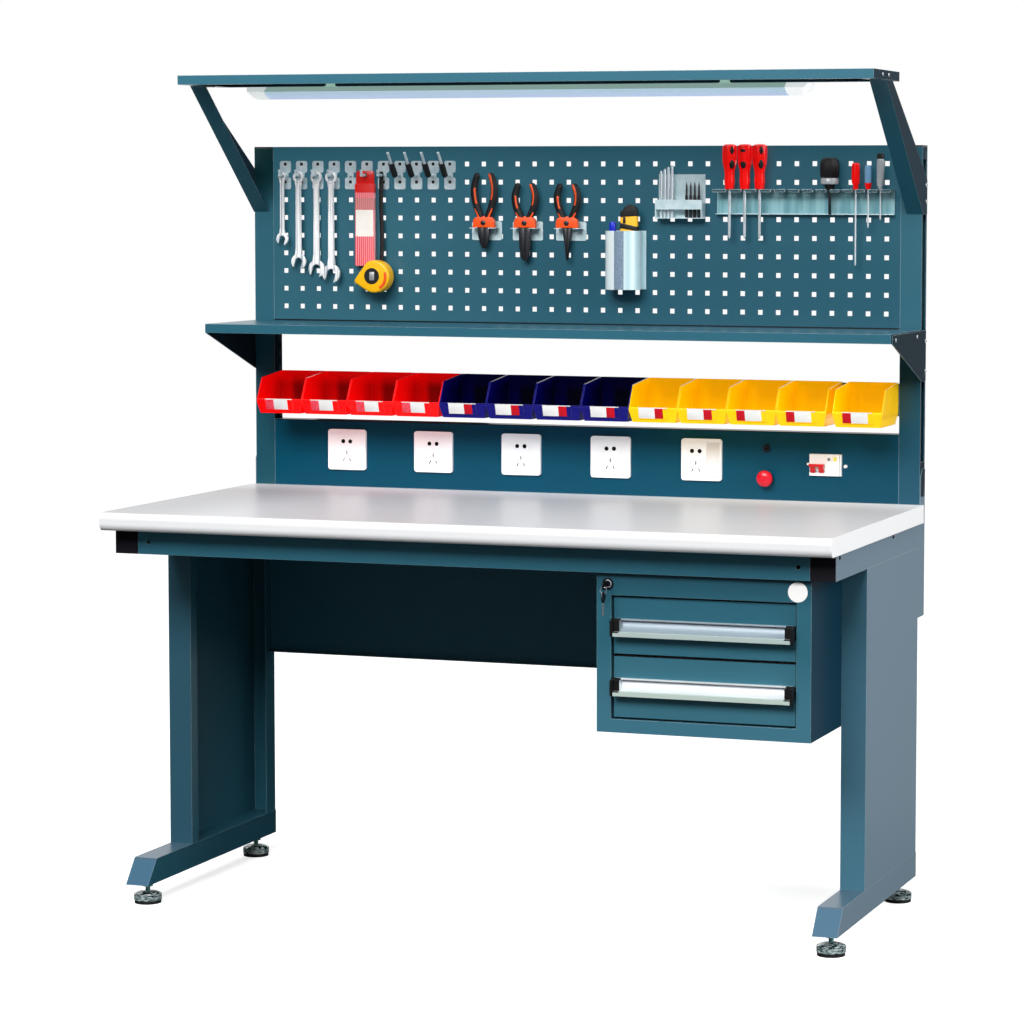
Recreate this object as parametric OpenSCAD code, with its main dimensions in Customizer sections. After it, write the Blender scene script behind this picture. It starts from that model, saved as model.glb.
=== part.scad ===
// Anti-static workbench: laminate worktop on a steel underframe, hanging drawer cabinet, and an upper
// frame with socket strip, parts bins, shelf, perforated tool panel and a canopy with a strip lamp.
// Origin: centre of the footprint, on the floor. +X to the right, +Y to the back, +Z up. Millimetres.

/* [Worktop] */
// Width of the underframe over its two legs
bench_w = 1500; // [1440:10:1600]
// How far the worktop stands out past each leg
top_over = 7; // [0:1:10]
// Height of the working surface above the floor
work_h = 814; // [790:2:850]
// Depth of the worktop, from its front edge to the posts
top_d = 720; // [700:5:760]
// Thickness of the worktop
top_t = 37; // [34:1:42]
// Radius of the rounded front edge
nose_r = 14; // [10:1:16]
// Thickness of the laminate
lam_t = 1; // [0.8:0.1:1.5]
// Thickness of the end bands
band_t = 2; // [1:0.5:3]

/* [Underframe] */
// Side of the square frame tube, which is also the width of a leg
tube_w = 50; // [46:1:54]
// Wall of the frame tube, the legs and the cross rails
tube_t = 2; // [1.5:0.5:3]
// Setback of the front rail behind the worktop's front edge
rail_set = 57; // [45:1:65]
// Depth of the folded front and rear rails
rail_d = 30; // [24:1:40]
// Radius of the screw holes near the ends of the front rail
rail_hole_r = 4.5; // [2:0.5:5]
// Distance of those holes from the rail's end
rail_hole_in = 23; // [15:1:30]
// Overhang of the worktop behind the legs
rear_set = 17; // [12:1:22]
// Depth of a leg panel
leg_d = 413; // [380:5:440]
// Return lip on the front flange of a leg
lip_front = 30; // [20:1:40]
// Return lip on the rear flange of a leg
lip_rear = 45; // [30:1:60]
// Length of a foot beam along its underside
foot_len = 617; // [590:1:640]
// How far the top of the beam's toe is set back from its bottom
toe_rake = 41; // [20:1:60]
// Clearance under the foot beams
foot_gap = 44; // [40:1:50]
// Distance of the front levelling foot from the toe
foot_front_in = 49; // [46:1:90]
// Distance of the rear levelling foot from the back of the beam
foot_rear_in = 48; // [32:1:55]
// Height of the modesty panel
modesty_h = 278; // [200:2:320]
// Distance of the modesty panel's rear face from the back of the legs
modesty_in = 12; // [6:1:30]
// Width of the modesty panel's folded edges
modesty_lip = 15; // [10:1:25]
// Thickness of the modesty panel and of the cabinet's sheet
sheet_t = 1.2; // [1:0.1:1.5]
// Face thickness of a plastic plug in a tube end
plug_t = 3; // [2:0.5:4]
// Depth of a plug inside its tube
plug_in = 15; // [10:1:20]
// Clearance round a plug inside its tube
plug_gap = 0.2; // [0.1:0.1:0.4]

/* [Levelling feet] */
// Radius of the rubber pad
pad_r = 27.2; // [26:0.2:31]
// Height of the rubber pad
pad_h = 7; // [5:1:9]
// Height of the plated cup's straight rim
cup_rim = 12; // [8:1:14]
// Height of the cup's dome
cup_dome = 6; // [5:1:10]
// Radius of the threaded stem
stem_r = 5; // [4:0.5:6]
// Length of stem inside the beam
stem_in = 40; // [30:1:44]
// Clearance round the stem in the nut and the beam
stem_gap = 0.3; // [0.2:0.1:0.5]
// Width of the jam nut across its corners
nut_w = 23; // [18:0.5:24]
// Thickness of the jam nut
nut_t = 10; // [6:1:10]

/* [Upper frame] */
// Width of a post
post_w = 45; // [42:1:48]
// Depth of a post
post_d = 40; // [38:1:46]
// Wall of a post and of the brackets on it
post_t = 2; // [1.5:0.5:3]
// Height of the posts' tops above the worktop
post_up = 737; // [720:1:760]
// Distance of the posts' lower ends below the worktop's surface
post_down = 230; // [200:1:250]
// Distance between the hanging slots in a post's sides
slot_pitch = 33; // [30:1:40]
// Height of a hanging slot
slot_h = 14; // [10:1:16]
// Width of a hanging slot
slot_w = 4; // [3:0.5:5]
// Distance of the slots behind the front of the post
slot_in = 26; // [20:1:30]
// Width of the strips left beside the opening in a post's outer side
post_edge = 6; // [4:1:8]
// Height of the post sockets' tops above the worktop
socket_up = 73; // [50:1:90]
// Depth of a post socket behind the legs
socket_d = 53; // [50:1:56]
// Chamfer at the top of a post socket
socket_cut = 15; // [8:1:18]

/* [Tool panel and shelf] */
// Height of the tool panel
peg_h = 383; // [350:1:390]
// Thickness of the tool panel's sheet
peg_t = 1.5; // [1:0.1:2]
// Depth of the tool panel's folded edges
peg_lip = 20; // [15:1:25]
// Side of a square hole in the tool panel
peg_hole = 10; // [8:0.5:11]
// Distance between the square holes
peg_pitch = 38.5; // [36:0.5:40]
// Least margin outside the holes
peg_margin = 28; // [25:1:40]
// Height of the shelf's top above the tool panel's lower edge
shelf_lap = 6; // [0:1:12]
// Depth of the shelf
shelf_d = 251; // [220:1:280]
// Height of the shelf's folded edges
shelf_h = 19; // [16:1:24]
// Width of the return lips under the shelf and the canopy
edge_lip = 15; // [10:1:20]
// Height of a shelf bracket at the post
bracket_h = 106; // [90:1:120]
// Height of the shelf bracket's blunt front end
bracket_nose = 16; // [10:1:20]

/* [Canopy and lamp] */
// Height of the canopy's top above the posts' tops
canopy_up = 142; // [134:1:160]
// Height of the canopy's folded edges
canopy_h = 19; // [16:1:22]
// Depth of the canopy
canopy_d = 202; // [180:1:220]
// Distance of the canopy's front edge in front of the posts
canopy_out = 382; // [360:1:390]
// Gap between the canopy's end and the end of the bench
canopy_end = 7; // [3:1:9]
// Width of the folded front flange of a canopy arm
arm_flange = 33; // [20:1:36]
// Distance of the arm's lower end below the top of its post
arm_down = 141; // [130:1:160]
// Distance of the arm's upper end behind the canopy's front edge
arm_in = 72; // [50:1:90]
// Width of the arm's web where it meets the canopy
arm_w = 48; // [36:1:60]
// Length of the lamp
lamp_len = 1212; // [1150:2:1280]
// Width of the lamp
lamp_w = 75; // [60:1:90]
// Distance of the lamp's middle to the left of the bench's middle
lamp_off = 15.5; // [0:0.5:30]
// Height of the lamp's metal back
lamp_back = 10; // [8:1:12]
// Depth of the lamp's curved diffuser
lamp_belly = 15; // [10:1:20]
// Length of a lamp end cap
lamp_cap = 45; // [35:1:60]
// How far the outer end of such a cap slants in below
lamp_rake = 16; // [0:1:20]
// Distance of the lamp's clips from its middle
clip_x = 427; // [350:1:480]
// Gap above the lamp for its clips, up to the canopy's edge
lamp_drop = 4; // [2:1:6]

/* [Socket strip] */
// Height of the socket strip's housing
strip_h = 144; // [130:1:150]
// Sheet thickness of the socket strip and the bin rail
strip_t = 1.5; // [1:0.1:2]
// Side of a square socket plate
plate_w = 88; // [84:1:90]
// Thickness of a socket plate
plate_t = 7; // [6:0.5:9]
// Corner radius of a socket plate
plate_r = 6; // [3:1:9]
// Distance from the last socket plate's middle to the push button
plate_clear = 141; // [135:1:160]
// Distance of the first socket plate's middle from the left post
plate_in = 174; // [150:1:200]
// Height of the plates' middle above the worktop
plate_z = 81; // [60:1:84]
// Width of the rocker switch
rocker_w = 28; // [24:1:30]
// Height of the rocker switch
rocker_h = 72; // [60:1:74]
// Tilt of the rocker switch either side of flat, in degrees
rocker_tilt = 3; // [2:0.5:4]
// Distance of the round fittings' middle from the right post
button_in = 283; // [263:1:300]
// Height of the red button's axis above the worktop
button_z = 46; // [40:1:56]
// Radius of the red button
button_r = 17; // [15:0.5:20]
// Travel of the red button
button_travel = 4; // [3:0.5:5]
// Height of the earth jack's axis above the worktop
jack_z = 108; // [100:1:116]
// Radius of the earth jack's bore
jack_bore = 2; // [1.9:0.1:2.2]
// Depth of the earth jack's bore
jack_depth = 15; // [12:1:18]
// Distance of the breaker's middle from the right post
breaker_in = 155; // [133:1:173]
// Height of the breaker's middle above the worktop
breaker_z = 77; // [70:1:84]
// Width of the breaker
breaker_w = 68; // [60:1:72]
// Height of the breaker's nose
nose_h = 45; // [44:1:50]

/* [Parts bins] */
// Width of a bin
bin_w = 105.1; // [100:0.1:105.1]
// Distance between neighbouring bins
bin_pitch = 105.7; // [105.7:0.1:107]
// Length of a bin
bin_len = 131; // [125:1:160]
// Height of a bin
bin_h = 86; // [80:1:90]
// Height of a bin's front wall
bin_front = 28; // [26:1:48]
// Wall of a bin
bin_t = 2; // [1.6:0.1:2.5]
// Width of a bin's label holder
label_w = 64; // [50:1:80]
// Height of a bin's label holder
label_h = 21; // [16:1:22]
// Distance of the first bin from the left post
bin_in = 17.6; // [13:0.2:18]
// How far the front wall leans out towards its top
bin_lean = 8; // [4:1:14]
// Length of the slanted front edge of a bin's side, seen from above
bin_slant = 26; // [20:1:40]
// How far the side's top edge falls towards the front
bin_fall = 10.5; // [0:0.5:14]
// Extra gap before the last bin
bin_gap = 13; // [0:1:14]
// Height of the bins' rims above the worktop
bin_up = 251; // [240:1:266]
// Height of the bin rail
bin_rail_h = 67; // [50:1:80]

/* [Cabinet] */
// Width of the drawer cabinet
cab_w = 428; // [400:2:450]
// Height of the drawer cabinet
cab_h = 310; // [300:1:330]
// Depth of the drawer cabinet
cab_d = 520; // [480:5:560]
// Setback of the cabinet behind the worktop's front edge
cab_set = 70; // [60:1:80]
// Width of the cabinet's front stiles
stile = 29; // [24:1:34]
// Height of the cabinet's top front rail
cab_top_rail = 44; // [40:1:50]
// Height of the cabinet's bottom front rail
cab_low_rail = 26; // [20:1:30]
// Depth of the folded front frame
frame_d = 20; // [15:1:24]
// Height of the lower drawer's front
low_front = 121; // [110:1:126]
// How far the drawer fronts stand back in their openings
front_set = 8; // [2:1:12]
// Gap round the drawer fronts
front_gap = 2; // [1.5:0.5:3]
// Depth of a drawer's folded front
front_d = 18; // [14:1:22]
// Length of a drawer's tray
tray_len = 450; // [400:5:455]
// Height of an upper tray's walls
tray_wall = 90; // [70:1:95]
// Thickness of the drawer runners' members and their gap to the tray
runner_w = 13.5; // [12.5:0.5:15]
// Height of a drawer runner
runner_h = 35; // [30:1:40]
// Length of a handle
handle_len = 353; // [320:1:355]
// Thickness of the cap on each end of a handle
handle_end = 6; // [2:1:7]
// Height of a handle
handle_h = 33; // [32:1:38]
// How far a handle stands out
handle_d = 24; // [20:1:26]
// Distance of a handle below the top of its drawer front
handle_down = 43; // [36:1:50]
// Distance of the lock from the cabinet's left side
lock_in = 23; // [20:1:28]
// Radius of the lock's turning plug
lock_r = 6; // [5:0.5:7]

/* [Hidden] */
$fn = 48;
teal = "#2b5c6c";
steel = "#c9d3d6";
hw = bench_w / 2;
top_hw = hw + top_over;
y_front = -(top_d + post_d) / 2;
y_post = y_front + top_d;
y_back = y_post + post_d;
under_top = work_h - top_t;
leg_top = under_top - tube_w;
foot_top = foot_gap + tube_w;
leg_in = hw - tube_w;
leg_back = y_post - rear_set;
leg_front = leg_back - leg_d;
y_rail = y_front + rail_set;
toe_y = leg_back - foot_len;
post_out = hw - post_t;
post_in = post_out - post_w;
post_top = work_h + post_up;
post_foot = work_h - post_down;
arm_foot = post_top - arm_down;
canopy_top = post_top + canopy_up;
plate_x = -post_in + plate_in;
button_x = post_in - button_in;
plate_pitch = (button_x - plate_clear - plate_x) / 4;
breaker_x = post_in - breaker_in;
bin_x = -post_in + bin_in;
bin_rim = work_h + bin_up;
peg_z = post_top - peg_h;
shelf_z = peg_z + shelf_lap;
peg_w = 2 * post_in;
peg_cols = floor((peg_w - 2 * peg_margin) / peg_pitch) + 1;
peg_rows = floor((peg_h - 2 * peg_margin) / peg_pitch) + 1;
peg_x1 = -(peg_cols - 1) * peg_pitch / 2;
peg_z1 = peg_z + peg_h / 2 + (peg_rows - 1) * peg_pitch / 2;
canopy_z = canopy_top - canopy_h;
canopy_hw = hw - canopy_end;
y_canopy = y_post - canopy_out;
lamp_y = y_canopy + canopy_d / 2;
lamp_top = canopy_z - lamp_drop;
strip_y = y_back - strip_t;
cab_x1 = leg_in;
cab_x0 = cab_x1 - cab_w;
y_cab = y_front + cab_set;
cab_z = leg_top - cab_h;
open_x0 = cab_x0 + stile;
open_x1 = cab_x1 - stile;
open_z0 = cab_z + cab_low_rail;
open_z1 = leg_top - cab_top_rail;
front_y = y_cab + front_set;
tray_y = front_y + front_d;
up_front = open_z1 - open_z0 - low_front - 3 * front_gap;
low_z = open_z0 + front_gap;
up_z = low_z + low_front + front_gap;
runner_y = tray_y + front_gap;
upright_w = stile - sheet_t;
lock_x = cab_x0 + lock_in;
lock_z = leg_top - cab_top_rail / 2;
hang_gap = 0.3;
bin_y = y_post - hang_gap;
bin_z = bin_rim - bin_h;
handle_t = 2.5;
cap_plug = 12;
notch_w = 8;
key_y = y_cab - 28;
bow_hole_r = 2.5;
wire_r = 0.7;
ring_r = 6.5;
bow_t = 1.8;
ring_gap = 0.85;
ring_top = lock_z - 3 - bow_hole_r + wire_r + ring_gap;
spare_z = ring_top - 2 * ring_r + wire_r + hang_gap - bow_hole_r;
breaker_top_z = work_h + breaker_z;
lever_x = breaker_x - 17;
lever_z = breaker_top_z - 7;
lever_w = 32;
lever_r = 8;
test_x = breaker_x + 21;
test_z = breaker_top_z + 13;
test_r = 4.2;
rocker_off = 26;
button_neck_r = 11;
jack_neck_r = 6;
pin_r = 3;
hook_drop = 24;
hang_z = peg_z1 - hook_drop;
plier_z = hang_z - 113;
cup_x = 113;
cup_z = hang_z - 239;
cup_r = 38;
bit_x = 233;
bit_z = hang_z - 90;
rack_x = 310;
rack_len = 380;
rack_z = hang_z - 29;
notch_out = 22;
function notch(i) = rack_x + 33 + 33.2 * i - 0.355 * i * i;

// Placing flat sections: along_x takes a Y-Z section, along_y an X-Z section
module along_x(x, len) translate([x, 0, 0]) rotate([90, 0, 90]) linear_extrude(len) children();
module along_y(y, len) translate([0, y + len, 0]) rotate([90, 0, 0]) linear_extrude(len) children();
module along_z(z, len) translate([0, 0, z]) linear_extrude(len) children();
module both_ends() {
    children();
    mirror([1, 0, 0]) children();
}
// A box between two corners
module span(a, b) translate(a) cube(b - a);
// A flat rectangle between two corners
module patch(a, b) translate(a) square(b - a);
// A cylinder that points along +Y
module round_y(x, y, z, r, len) translate([x, y, z]) rotate([-90, 0, 0]) cylinder(h = len, r = r);
// A rectangle with rounded corners, about its middle
module pad(w, h, r) {
    square([w - 2 * r, h], center = true);
    square([w, h - 2 * r], center = true);
    for (x = [-1, 1], y = [-1, 1]) translate([x * (w / 2 - r), y * (h / 2 - r)]) circle(r);
}

// Folded sheet: a line of points on one face, with the thickness to its left, or right if negative
function unit(v) = v / norm(v);
function turned(v) = [-v[1], v[0]];
function stretch(p, i) = unit(p[i + 1] - p[i]);
function fold_point(p, i, t) =
    let (a = stretch(p, max(i - 1, 0)), b = stretch(p, min(i, len(p) - 2)))
    p[i] + (turned(a) + turned(b)) * t / (1 + a * b);
module folded(p, t) polygon(concat(p, [for (i = [len(p) - 1 : -1 : 0]) fold_point(p, i, t)]));

// Worktop section with a rounded front edge, drawn in by an inset
module top_section(inset) {
    patch([y_front + nose_r, under_top + inset], [y_post, work_h - inset]);
    patch([y_front + inset, under_top + nose_r], [y_front + nose_r, work_h - nose_r]);
    for (z = [under_top + nose_r, work_h - nose_r]) translate([y_front + nose_r, z]) circle(nose_r - inset);
}
module worktop_core() color("#b9a27c")
    along_x(-top_hw + band_t, 2 * (top_hw - band_t)) top_section(lam_t);
module worktop_laminate() color("#e4e6e6") {
    along_x(-top_hw + band_t, 2 * (top_hw - band_t)) difference() {
        top_section(0);
        top_section(lam_t);
    }
    both_ends() along_x(top_hw - band_t, band_t) top_section(0);
}

// Front and rear rails: folded channels between the side tubes
module cross_rails() color(teal) {
    difference() {
        along_x(-leg_in, 2 * leg_in) folded([[y_rail + rail_d, leg_top], [y_rail, leg_top],
            [y_rail, under_top], [y_rail + rail_d, under_top]], -tube_t);
        both_ends() round_y(leg_in - rail_hole_in, y_rail - 1, leg_top + tube_w / 2, rail_hole_r, tube_t + 2);
    }
    along_x(-leg_in, 2 * leg_in) folded([[leg_back - rail_d, leg_top], [leg_back, leg_top],
        [leg_back, under_top], [leg_back - rail_d, under_top]], tube_t);
}
module tube_section(x, z, w, h, t) difference() {
    patch([x, z], [x + w, z + h]);
    patch([x + t, z + t], [x + w - t, z + h - t]);
}
module side_rails() color(teal) both_ends()
    along_y(y_rail + plug_t, leg_back - y_rail - plug_t) tube_section(leg_in, leg_top, tube_w, tube_w, tube_t);
// Black plugs in the open ends of the side rails, the foot beams and the posts
module plug_square(z, y, back) {
    in = tube_t + plug_gap;
    span([leg_in, y, z], [hw, y + plug_t, z + tube_w]);
    y_in = back ? y - plug_in : y + plug_t;
    span([leg_in + in, y_in, z + in], [hw - in, y_in + plug_in, z + tube_w - in]);
}
module tube_end_plugs() color("#17141c") both_ends() {
    plug_square(leg_top, y_rail, false);
    plug_square(foot_gap, leg_back, true);
    in = post_t + plug_gap;
    span([post_in, y_post, post_top - plug_t], [post_out, y_back, post_top]);
    span([post_in + in, y_post + in, post_top - plug_t - plug_in], [post_out - in, y_back - in, post_top - plug_t]);
}

// A leg: one deep panel of folded sheet, open towards the knee space
module leg() color(teal) along_z(foot_top, leg_top - foot_top) folded([[leg_in, leg_front + lip_front],
    [leg_in, leg_front], [hw, leg_front], [hw, leg_back], [leg_in, leg_back],
    [leg_in, leg_back - lip_rear]], tube_t);
function toe(z) = toe_y + toe_rake * (z - foot_gap) / tube_w;
module foot_beam() difference() {
    along_x(leg_in, tube_w) polygon([[toe_y, foot_gap], [leg_back, foot_gap], [leg_back, foot_top],
        [toe_y + toe_rake, foot_top]]);
    z0 = foot_gap + tube_t;
    z1 = foot_top - tube_t;
    toe_t = 1.4 * tube_t;
    along_x(leg_in + tube_t, tube_w - 2 * tube_t) polygon([[toe(z0) + toe_t, z0], [leg_back + 1, z0],
        [leg_back + 1, z1], [toe(z1) + toe_t, z1]]);
    for (y = [toe_y + foot_front_in, leg_back - foot_rear_in])
        translate([hw - tube_w / 2, y, foot_gap - 1]) cylinder(h = tube_t + 2, r = stem_r + stem_gap);
}
module foot_beams() color(teal) both_ends() foot_beam();
module foot_jam_nuts() color("silver") both_ends()
    for (y = [toe_y + foot_front_in, leg_back - foot_rear_in])
        translate([hw - tube_w / 2, y, foot_gap - nut_t]) difference() {
            cylinder(h = nut_t, r = nut_w / 2, $fn = 6);
            translate([0, 0, -1]) cylinder(h = nut_t + 2, r = stem_r + stem_gap);
        }
// A levelling foot: rubber pad, plated cup and threaded stem
module levelling_foot(side, y) translate([side * (hw - tube_w / 2), y, 0]) {
    cup_top = pad_h + cup_rim + cup_dome;
    color("#15161a") cylinder(h = pad_h, r = pad_r);
    color("silver") rotate_extrude() polygon([[0, pad_h], [pad_r + 1, pad_h], [pad_r + 1, pad_h + cup_rim],
        [pad_r - 5, pad_h + cup_rim + 3], [stem_r + 4, cup_top], [stem_r, cup_top],
        [stem_r, foot_gap + stem_in], [0, foot_gap + stem_in]]);
}
module modesty_panel() color(teal) {
    y = leg_back - modesty_in;
    along_x(-leg_in, 2 * leg_in) folded([[y - modesty_lip, leg_top - modesty_h], [y, leg_top - modesty_h],
        [y, leg_top], [y - modesty_lip, leg_top]], sheet_t);
}

// Posts: channels open to the outside between their ends, with a ladder of slots in the inner side
module posts() color(teal) both_ends() difference() {
    along_z(post_foot, post_top - plug_t - post_foot) tube_section(post_in, y_post, post_w, post_d, post_t);
    span([post_out - post_t - 1, y_post + post_edge, work_h + socket_up + slot_h],
        [post_out + 1, y_back - post_edge, post_top - 2 * slot_h]);
    for (z = [post_top - 2 * slot_h : -slot_pitch : work_h + socket_up + slot_h])
        translate([post_in - 1, y_post + slot_in, z]) cube([post_w + 2, slot_w, slot_h]);
}
// Post sockets: channels bolted behind the legs, with their outer sides carried up past the worktop
module post_sockets() color("#5d7f92") both_ends() difference() {
    union() {
        y1 = leg_back + socket_d;
        z1 = work_h + socket_up;
        along_x(post_out, post_t) polygon([[leg_back, post_foot - post_t], [y1, post_foot - post_t],
            [y1, z1], [y_post + socket_cut, z1], [y_post, z1 - socket_cut], [y_post, under_top],
            [leg_back, under_top]]);
        span([post_in - post_t, leg_back, post_foot - post_t], [post_out, leg_back + post_t, under_top]);
        span([post_in - post_t, leg_back, post_foot - post_t], [post_in, y1, under_top]);
        span([post_in - post_t, leg_back, post_foot - post_t], [post_out, y1, post_foot]);
    }
    translate([post_out - 1, y_post + slot_in, work_h + slot_h]) cube([post_t + 2, slot_w, 2 * slot_h]);
}

module tool_panel() color(teal) {
    along_y(y_post, peg_t) difference() {
        patch([-post_in, peg_z], [post_in, post_top]);
        for (c = [0 : peg_cols - 1], r = [0 : peg_rows - 1])
            translate([peg_x1 + c * peg_pitch, peg_z1 - r * peg_pitch]) square(peg_hole, center = true);
    }
    along_y(y_post + peg_t, peg_lip - peg_t) tube_section(-post_in, peg_z, peg_w, peg_h, peg_t);
}
// A shallow tray of folded sheet, closed on top, with lips turned in below
module folded_deck(a, b, t, lip, end_lip) difference() {
    span(a, b);
    span(a + [t, t, t], b - [t, t, t]);
    span([a[0] + end_lip, a[1] + lip, a[2] - 1], [b[0] - end_lip, b[1] - lip, a[2] + t + 1]);
}
module shelf() color(teal) folded_deck([-post_out, y_post - shelf_d, shelf_z - shelf_h],
    [post_out, y_post, shelf_z], peg_t, edge_lip, edge_lip);
module shelf_brackets() color(teal) both_ends() difference() {
    y0 = y_post - shelf_d + 7;
    along_x(post_out, post_t) polygon([[y0, shelf_z - shelf_h + 3 - bracket_nose / 4], [y_post, shelf_z - bracket_h],
        [y_post + slot_in + 2 * slot_w, shelf_z - bracket_h], [y_post + slot_in + 2 * slot_w, shelf_z - 2],
        [y0, shelf_z - 2]]);
    for (z = [shelf_z - 28, shelf_z - bracket_h + 13])
        translate([post_out - 1, y_post + slot_in - slot_w, z]) cube([post_t + 2, slot_w, slot_h / 2]);
}
module canopy() color(teal) folded_deck([-canopy_hw, y_canopy, canopy_z],
    [canopy_hw, y_canopy + canopy_d, canopy_top], peg_t, edge_lip, 2 * edge_lip);
// Canopy arms: a raking web outside each post, with its front edge folded in
module canopy_arms() color(teal) both_ends() {
    y0 = y_canopy + arm_in;
    y1 = y_post + slot_in + 2 * slot_w;
    difference() {
        along_x(post_out, post_t) polygon([[y0, canopy_z], [y_post, arm_foot], [y1, arm_foot],
            [y1, arm_foot + 70], [y_post, arm_foot + 95], [y0 + arm_w, canopy_z]]);
        for (z = [arm_foot + 22, arm_foot + 56])
            translate([post_out - 1, y_post + slot_in - slot_w, z]) cube([post_t + 2, slot_w, slot_h / 2]);
    }
    along_x(post_out - arm_flange, arm_flange) intersection() {
        folded([[y0, canopy_z], [y_post, arm_foot]], post_t);
        patch([y0, arm_foot], [y_post, canopy_z]);
    }
    span([post_out - arm_flange, y0 + post_t, canopy_z - post_t], [post_out, y0 + arm_w, canopy_z]);
}

// Strip lamp: aluminium back with its light board, and a curved milky cover with end caps
module lamp_housing() color("#b9c9c4") translate([-lamp_off, lamp_y, lamp_top]) {
    hl = lamp_len / 2 - lamp_cap;
    along_x(-hl, 2 * hl) polygon([[-lamp_w / 3, 0], [lamp_w / 3, 0], [lamp_w / 2, -lamp_back],
        [-lamp_w / 2, -lamp_back]]);
    span([-hl, -lamp_w / 6, -lamp_back - sheet_t], [hl, lamp_w / 6, -lamp_back]);
    rise = canopy_top - peg_t - lamp_top;
    for (x = [-clip_x, clip_x]) translate([x, 0, 0]) {
        span([-10, -10, 0], [10, 10, post_t]);
        span([-10, -1, 0], [10, 1, rise]);
        span([-10, -10, rise - post_t], [10, 10, rise]);
    }
}
module lamp_arc(inset) {
    half = lamp_w / 2 - 1;
    r = (half * half + lamp_belly * lamp_belly) / (2 * lamp_belly);
    intersection() {
        translate([0, r - lamp_back - lamp_belly]) circle(r - inset, $fn = 96);
        patch([-half, -lamp_back - lamp_belly - 1], [half, -lamp_back]);
    }
}
module lamp_cover() color("#eceaf6") translate([-lamp_off, lamp_y, lamp_top]) {
    hl = lamp_len / 2;
    along_x(-hl + lamp_cap, lamp_len - 2 * lamp_cap) difference() {
        lamp_arc(0);
        lamp_arc(2);
    }
    both_ends() difference() {
        along_x(hl - lamp_cap, lamp_cap) {
            polygon([[-lamp_w / 3, 0], [lamp_w / 3, 0], [lamp_w / 2, -lamp_back], [-lamp_w / 2, -lamp_back]]);
            lamp_arc(0);
        }
        below = lamp_back + lamp_belly + 1;
        along_y(-lamp_w, 2 * lamp_w) polygon([[hl, 1], [hl, 0], [hl - lamp_rake, -below], [hl + 1, -below], [hl + 1, 1]]);
    }
}

// Socket strip: folded housing between the posts, its rear cover, and a rail for the breaker
module socket_strip_housing() {
    color("#1c5068") difference() {
        span([-post_in, y_post, work_h], [post_in, strip_y, work_h + strip_h]);
        span([-post_in + strip_t, y_post + strip_t, work_h + strip_t],
            [post_in - strip_t, y_back, work_h + strip_h - strip_t]);
        for (i = [0 : 4]) translate([plate_x + i * plate_pitch, y_post, work_h + plate_z])
            cube([plate_w - 26, 10, plate_w - 26], center = true);
        round_y(button_x, y_post - 1, work_h + button_z, button_neck_r + plug_gap, 5);
        round_y(button_x, y_post - 1, work_h + jack_z, jack_neck_r + plug_gap, 5);
        translate([breaker_x, y_post, breaker_top_z]) cube([breaker_w + 1, 10, nose_h + 1], center = true);
    }
    color("#1c5068") span([-post_in, strip_y, work_h], [post_in, y_back, work_h + strip_h]);
    color("silver") span([breaker_x - 50, strip_y - 5, breaker_top_z - 17.5],
        [breaker_x + 50, strip_y, breaker_top_z + 17.5]);
}
// Pin holes of a five-hole socket, about its middle
module pin_holes() {
    for (s = [-1, 1]) {
        translate([s * 8.3, 18]) circle(2.4);
        translate([s * 7.5, -22]) rotate(s * 30) square([2.2, 8], center = true);
    }
    translate([0, -7]) square([2.4, 8], center = true);
}
module socket_plate(x, pins_off) translate([x, y_post, work_h + plate_z]) difference() {
    union() {
        along_y(-plate_t, plate_t) pad(plate_w, plate_w, plate_r);
        translate([0, 15, 0]) cube([plate_w - 28, 30, plate_w - 28], center = true);
    }
    translate([pins_off, 0, 0]) along_y(-plate_t - 1, 14) pin_holes();
    if (pins_off != 0)
        translate([rocker_off, 0, 0]) cube([rocker_w + 0.8, 2 * plate_t + 2, rocker_h + 1.2], center = true);
}
module socket_plates() color("white")
    for (i = [0 : 4]) socket_plate(plate_x + i * plate_pitch, i == 4 ? -12 : 0);
module rocker_switch() color("white")
    translate([plate_x + 4 * plate_pitch + rocker_off, y_post - plate_t / 2 - 1, work_h + plate_z])
        rotate([-rocker_tilt, 0, 0]) cube([rocker_w, 5, rocker_h], center = true);

// Black bezel of the red button and the earth jack, each with its nut behind the sheet
module panel_fittings() color("#121417") {
    z = work_h + button_z;
    difference() {
        union() {
            round_y(button_x, y_post - 9, z, button_r - 2.5, 9);
            round_y(button_x, y_post - 1, z, button_neck_r, 20);
            round_y(button_x, y_post + strip_t, z, button_neck_r + 3, 5);
        }
        round_y(button_x, y_post - 10, z, button_neck_r - 3 + stem_gap, 40);
    }
    difference() {
        union() {
            round_y(button_x, y_post - 5, work_h + jack_z, jack_neck_r + 1.5, 5);
            round_y(button_x, y_post - 1, work_h + jack_z, jack_neck_r, 15);
            round_y(button_x, y_post + strip_t, work_h + jack_z, jack_neck_r + 2, 4);
        }
        round_y(button_x, y_post - 6, work_h + jack_z, jack_bore, jack_depth + 1);
    }
}
// Mushroom head on a stem; the head stands its travel and a little more in front of the bezel
module red_push_button() color("#d3122e") {
    y = y_post - 9 - button_travel - 1;
    translate([button_x, y, work_h + button_z]) rotate([90, 0, 0]) rotate_extrude()
        polygon([[0, 0], [button_r, 0], [button_r, 4], [button_r - 1.5, 7], [button_r - 5, 9.5],
            [button_r - 10, 11], [0, 11]]);
    round_y(button_x, y - 2, work_h + button_z, button_neck_r - 3, 36);
}

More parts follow.
